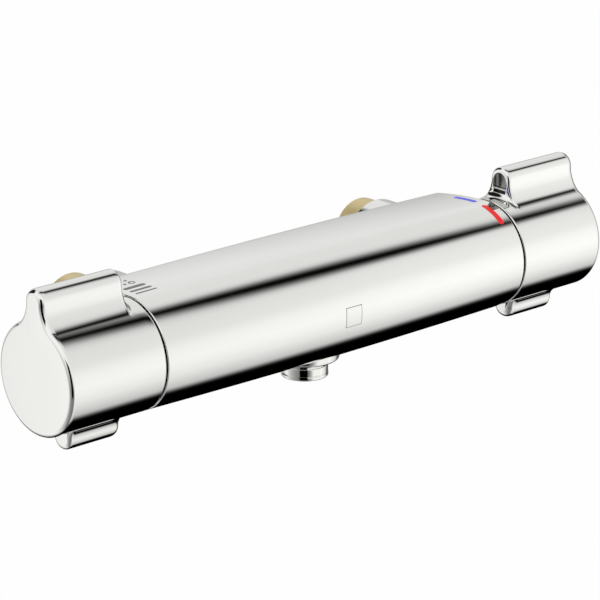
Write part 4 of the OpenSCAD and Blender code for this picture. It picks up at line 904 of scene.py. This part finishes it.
def make_strip(n, way):
    """The overhead strip's share of light, from the way that a ray goes."""
    height = n.math("MAXIMUM", way["Z"], 0.01)
    u = n.math("SUBTRACT", n.math("DIVIDE", way["X"], height), STRIP_MIDDLE)
    u = n.math("MINIMUM", n.math("MAXIMUM", u, STRIP_ENDS[0]), STRIP_ENDS[1])
    v = n.math("DIVIDE", way["Y"], height)
    constant, slope, bend = STRIP_FRONT
    front = n.math("MULTIPLY_ADD", u, n.math("MULTIPLY_ADD", u, bend, slope), constant)
    constant, slope = STRIP_BACK
    back = n.math("MULTIPLY_ADD", u, slope, constant)
    inside = n.math("MINIMUM", n.math("SUBTRACT", v, front), n.math("SUBTRACT", back, v))
    low, high, level = STRIP[0][0], STRIP[-1][0], grey(STRIP[0][1])
    return n.ramp(n.stretch(inside, low, high),
                  [((depth - low) / (high - low), (grey(seen) / level,) * 3) for depth, seen in STRIP])


def make_world():
    world = bpy.data.worlds.new("studio")
    bpy.context.scene.world = world
    world.use_nodes = True
    n = Nodes(world.node_tree)
    direction = n.add("ShaderNodeTexCoord").outputs["Generated"]
    way = n.add("ShaderNodeSeparateXYZ", {"Vector": direction}).outputs
    forward = n.math("MULTIPLY", way["Y"], -1)
    angle = n.math("ARCTAN2", way["Z"], forward)
    rise = n.math("ARCSINE", way["Z"])
    bearing = n.math("ARCTAN2", forward, n.math("MULTIPLY", way["X"], -1))
    round_share = n.math("MULTIPLY_ADD", bearing, 1 / (2 * pi), 0.5)
    front_share = n.math("MULTIPLY_ADD", angle, 1 / (2 * pi), 0.5)
    walls = n.ramp(front_share, by_angle((a, mirrored(level)) for a, level in STUDIO))
    light_side = n.stretch(way["X"], LIGHT_SIDE["from"], LIGHT_SIDE["to"], 0.0, LIGHT_SIDE["by"])
    below_strip = n.stretch(angle, LIGHT_SIDE["top"], LIGHT_SIDE["full"])
    walls = n.scale(walls, n.math("MULTIPLY_ADD", light_side, below_strip, 1.0))
    ceiling = n.mix(1.0, walls, make_strip(n, way), "MULTIPLY")
    walls = n.mix(n.math("GREATER_THAN", way["Z"], CEILING_FROM), walls, ceiling)

    # The two ends, and the screen on the wall
    right_end = n.ramp(round_share, by_angle((a, mirrored(level)) for a, level in RIGHT_END))
    walls = n.mix(n.stretch(way["X"], *RIGHT_END_FADE), walls, right_end)
    around = n.mix(n.stretch(way["X"], *LEFT_END_FADE), (*mirrored(LEFT_END_LEVEL), 1), walls)
    facing = n.add("ShaderNodeVectorMath", {0: direction, 1: SCREEN_WAY}, operation="DOT_PRODUCT")
    outer, inner = [cos(radians(a)) for a in SCREEN_EDGE]
    around = n.scale(around, n.stretch(facing.outputs["Value"], outer, inner, 1.0, SCREEN_LIGHT))

    # The camera's place
    foot, sole, waist, head = [radians(a) for a in STAND_HEIGHT]
    stand = n.math("MULTIPLY", n.stretch(rise, foot, sole), n.stretch(rise, waist, head, 1.0, 0.0))
    halo = n.stretch(rise, radians(HALO_HEIGHT[0]), radians(HALO_HEIGHT[1]), 1.0, 0.0)
    for stops, share in ((STAND, stand), (HALO, halo)):
        dark = n.ramp(round_share, by_angle((a, (light,) * 3) for a, light in stops))
        around = n.mix(share, around, n.mix(1.0, around, dark, "MULTIPLY"))
    mirror_view = n.scale(around, PEAK)

    # Mirrors and glass see the studio, the camera sees white, and all else gets soft light
    path = n.add("ShaderNodeLightPath").outputs
    seen = n.math("MAXIMUM", path["Is Glossy Ray"], path["Is Transmission Ray"])
    soft = n.mix(seen, (SOFT_LIGHT, SOFT_LIGHT, SOFT_LIGHT, 1), mirror_view)
    final = n.mix(path["Is Camera Ray"], soft, (1, 1, 1, 1))
    light = n.add("ShaderNodeBackground", {"Color": final, "Strength": 1.0})
    n.add("ShaderNodeOutputWorld", {"Surface": light.outputs["Background"]})


FLOOR_Z = -420.0
FLOOR_HALF = 4000.0
# The share of the floor's white that doesn't depend on the light; the rest shows the object's shadow
FLOOR_GLOW = 0.96


def make_floor():
    """A wide pale floor below the mixer. It stays white to the camera and keeps a soft shadow."""
    half = FLOOR_HALF
    corners = [place(x, y, FLOOR_Z) for x, y in ((-half, -half), (half, -half), (half, half), (-half, half))]
    mesh = bpy.data.meshes.new("floor")
    mesh.from_pydata(corners, [], [(0, 1, 2, 3)])
    floor = add_object("floor", mesh)
    paint = bpy.data.materials.new("floor_paint")
    paint.use_nodes = True
    n = Nodes(paint.node_tree)
    matt = n.add("ShaderNodeBsdfDiffuse", {"Color": (0.9, 0.9, 0.9, 1)})
    glow = n.add("ShaderNodeEmission", {"Color": (1, 1, 1, 1), "Strength": 1.0})
    both = n.add("ShaderNodeMixShader", {"Fac": FLOOR_GLOW, 1: matt.outputs["BSDF"],
                                         2: glow.outputs["Emission"]})
    n.add("ShaderNodeOutputMaterial", {"Surface": both.outputs["Shader"]})
    dress(floor, paint)
    floor.visible_glossy = False


def make_lamp(name, at, size, power):
    """A soft square lamp that faces the mixer, with its place in metres. Chrome doesn't mirror it."""
    light = bpy.data.lights.new(name, "AREA")
    light.size = size
    light.energy = power
    lamp = bpy.data.objects.new(name, light)
    lamp.location = at
    lamp.rotation_mode = "QUATERNION"
    lamp.rotation_quaternion = (place(0, 0, 0) - Vector(at)).to_track_quat("-Z", "Y")
    lamp.visible_glossy = False
    bpy.context.scene.collection.objects.link(lamp)


make_world()
make_floor()
make_lamp("key", (-0.9, -1.1, 1.3), 1.0, 6.0)
make_lamp("fill", (1.2, -0.8, 0.6), 1.2, 2.5)

bpy.context.scene.view_settings.view_transform = "Standard"
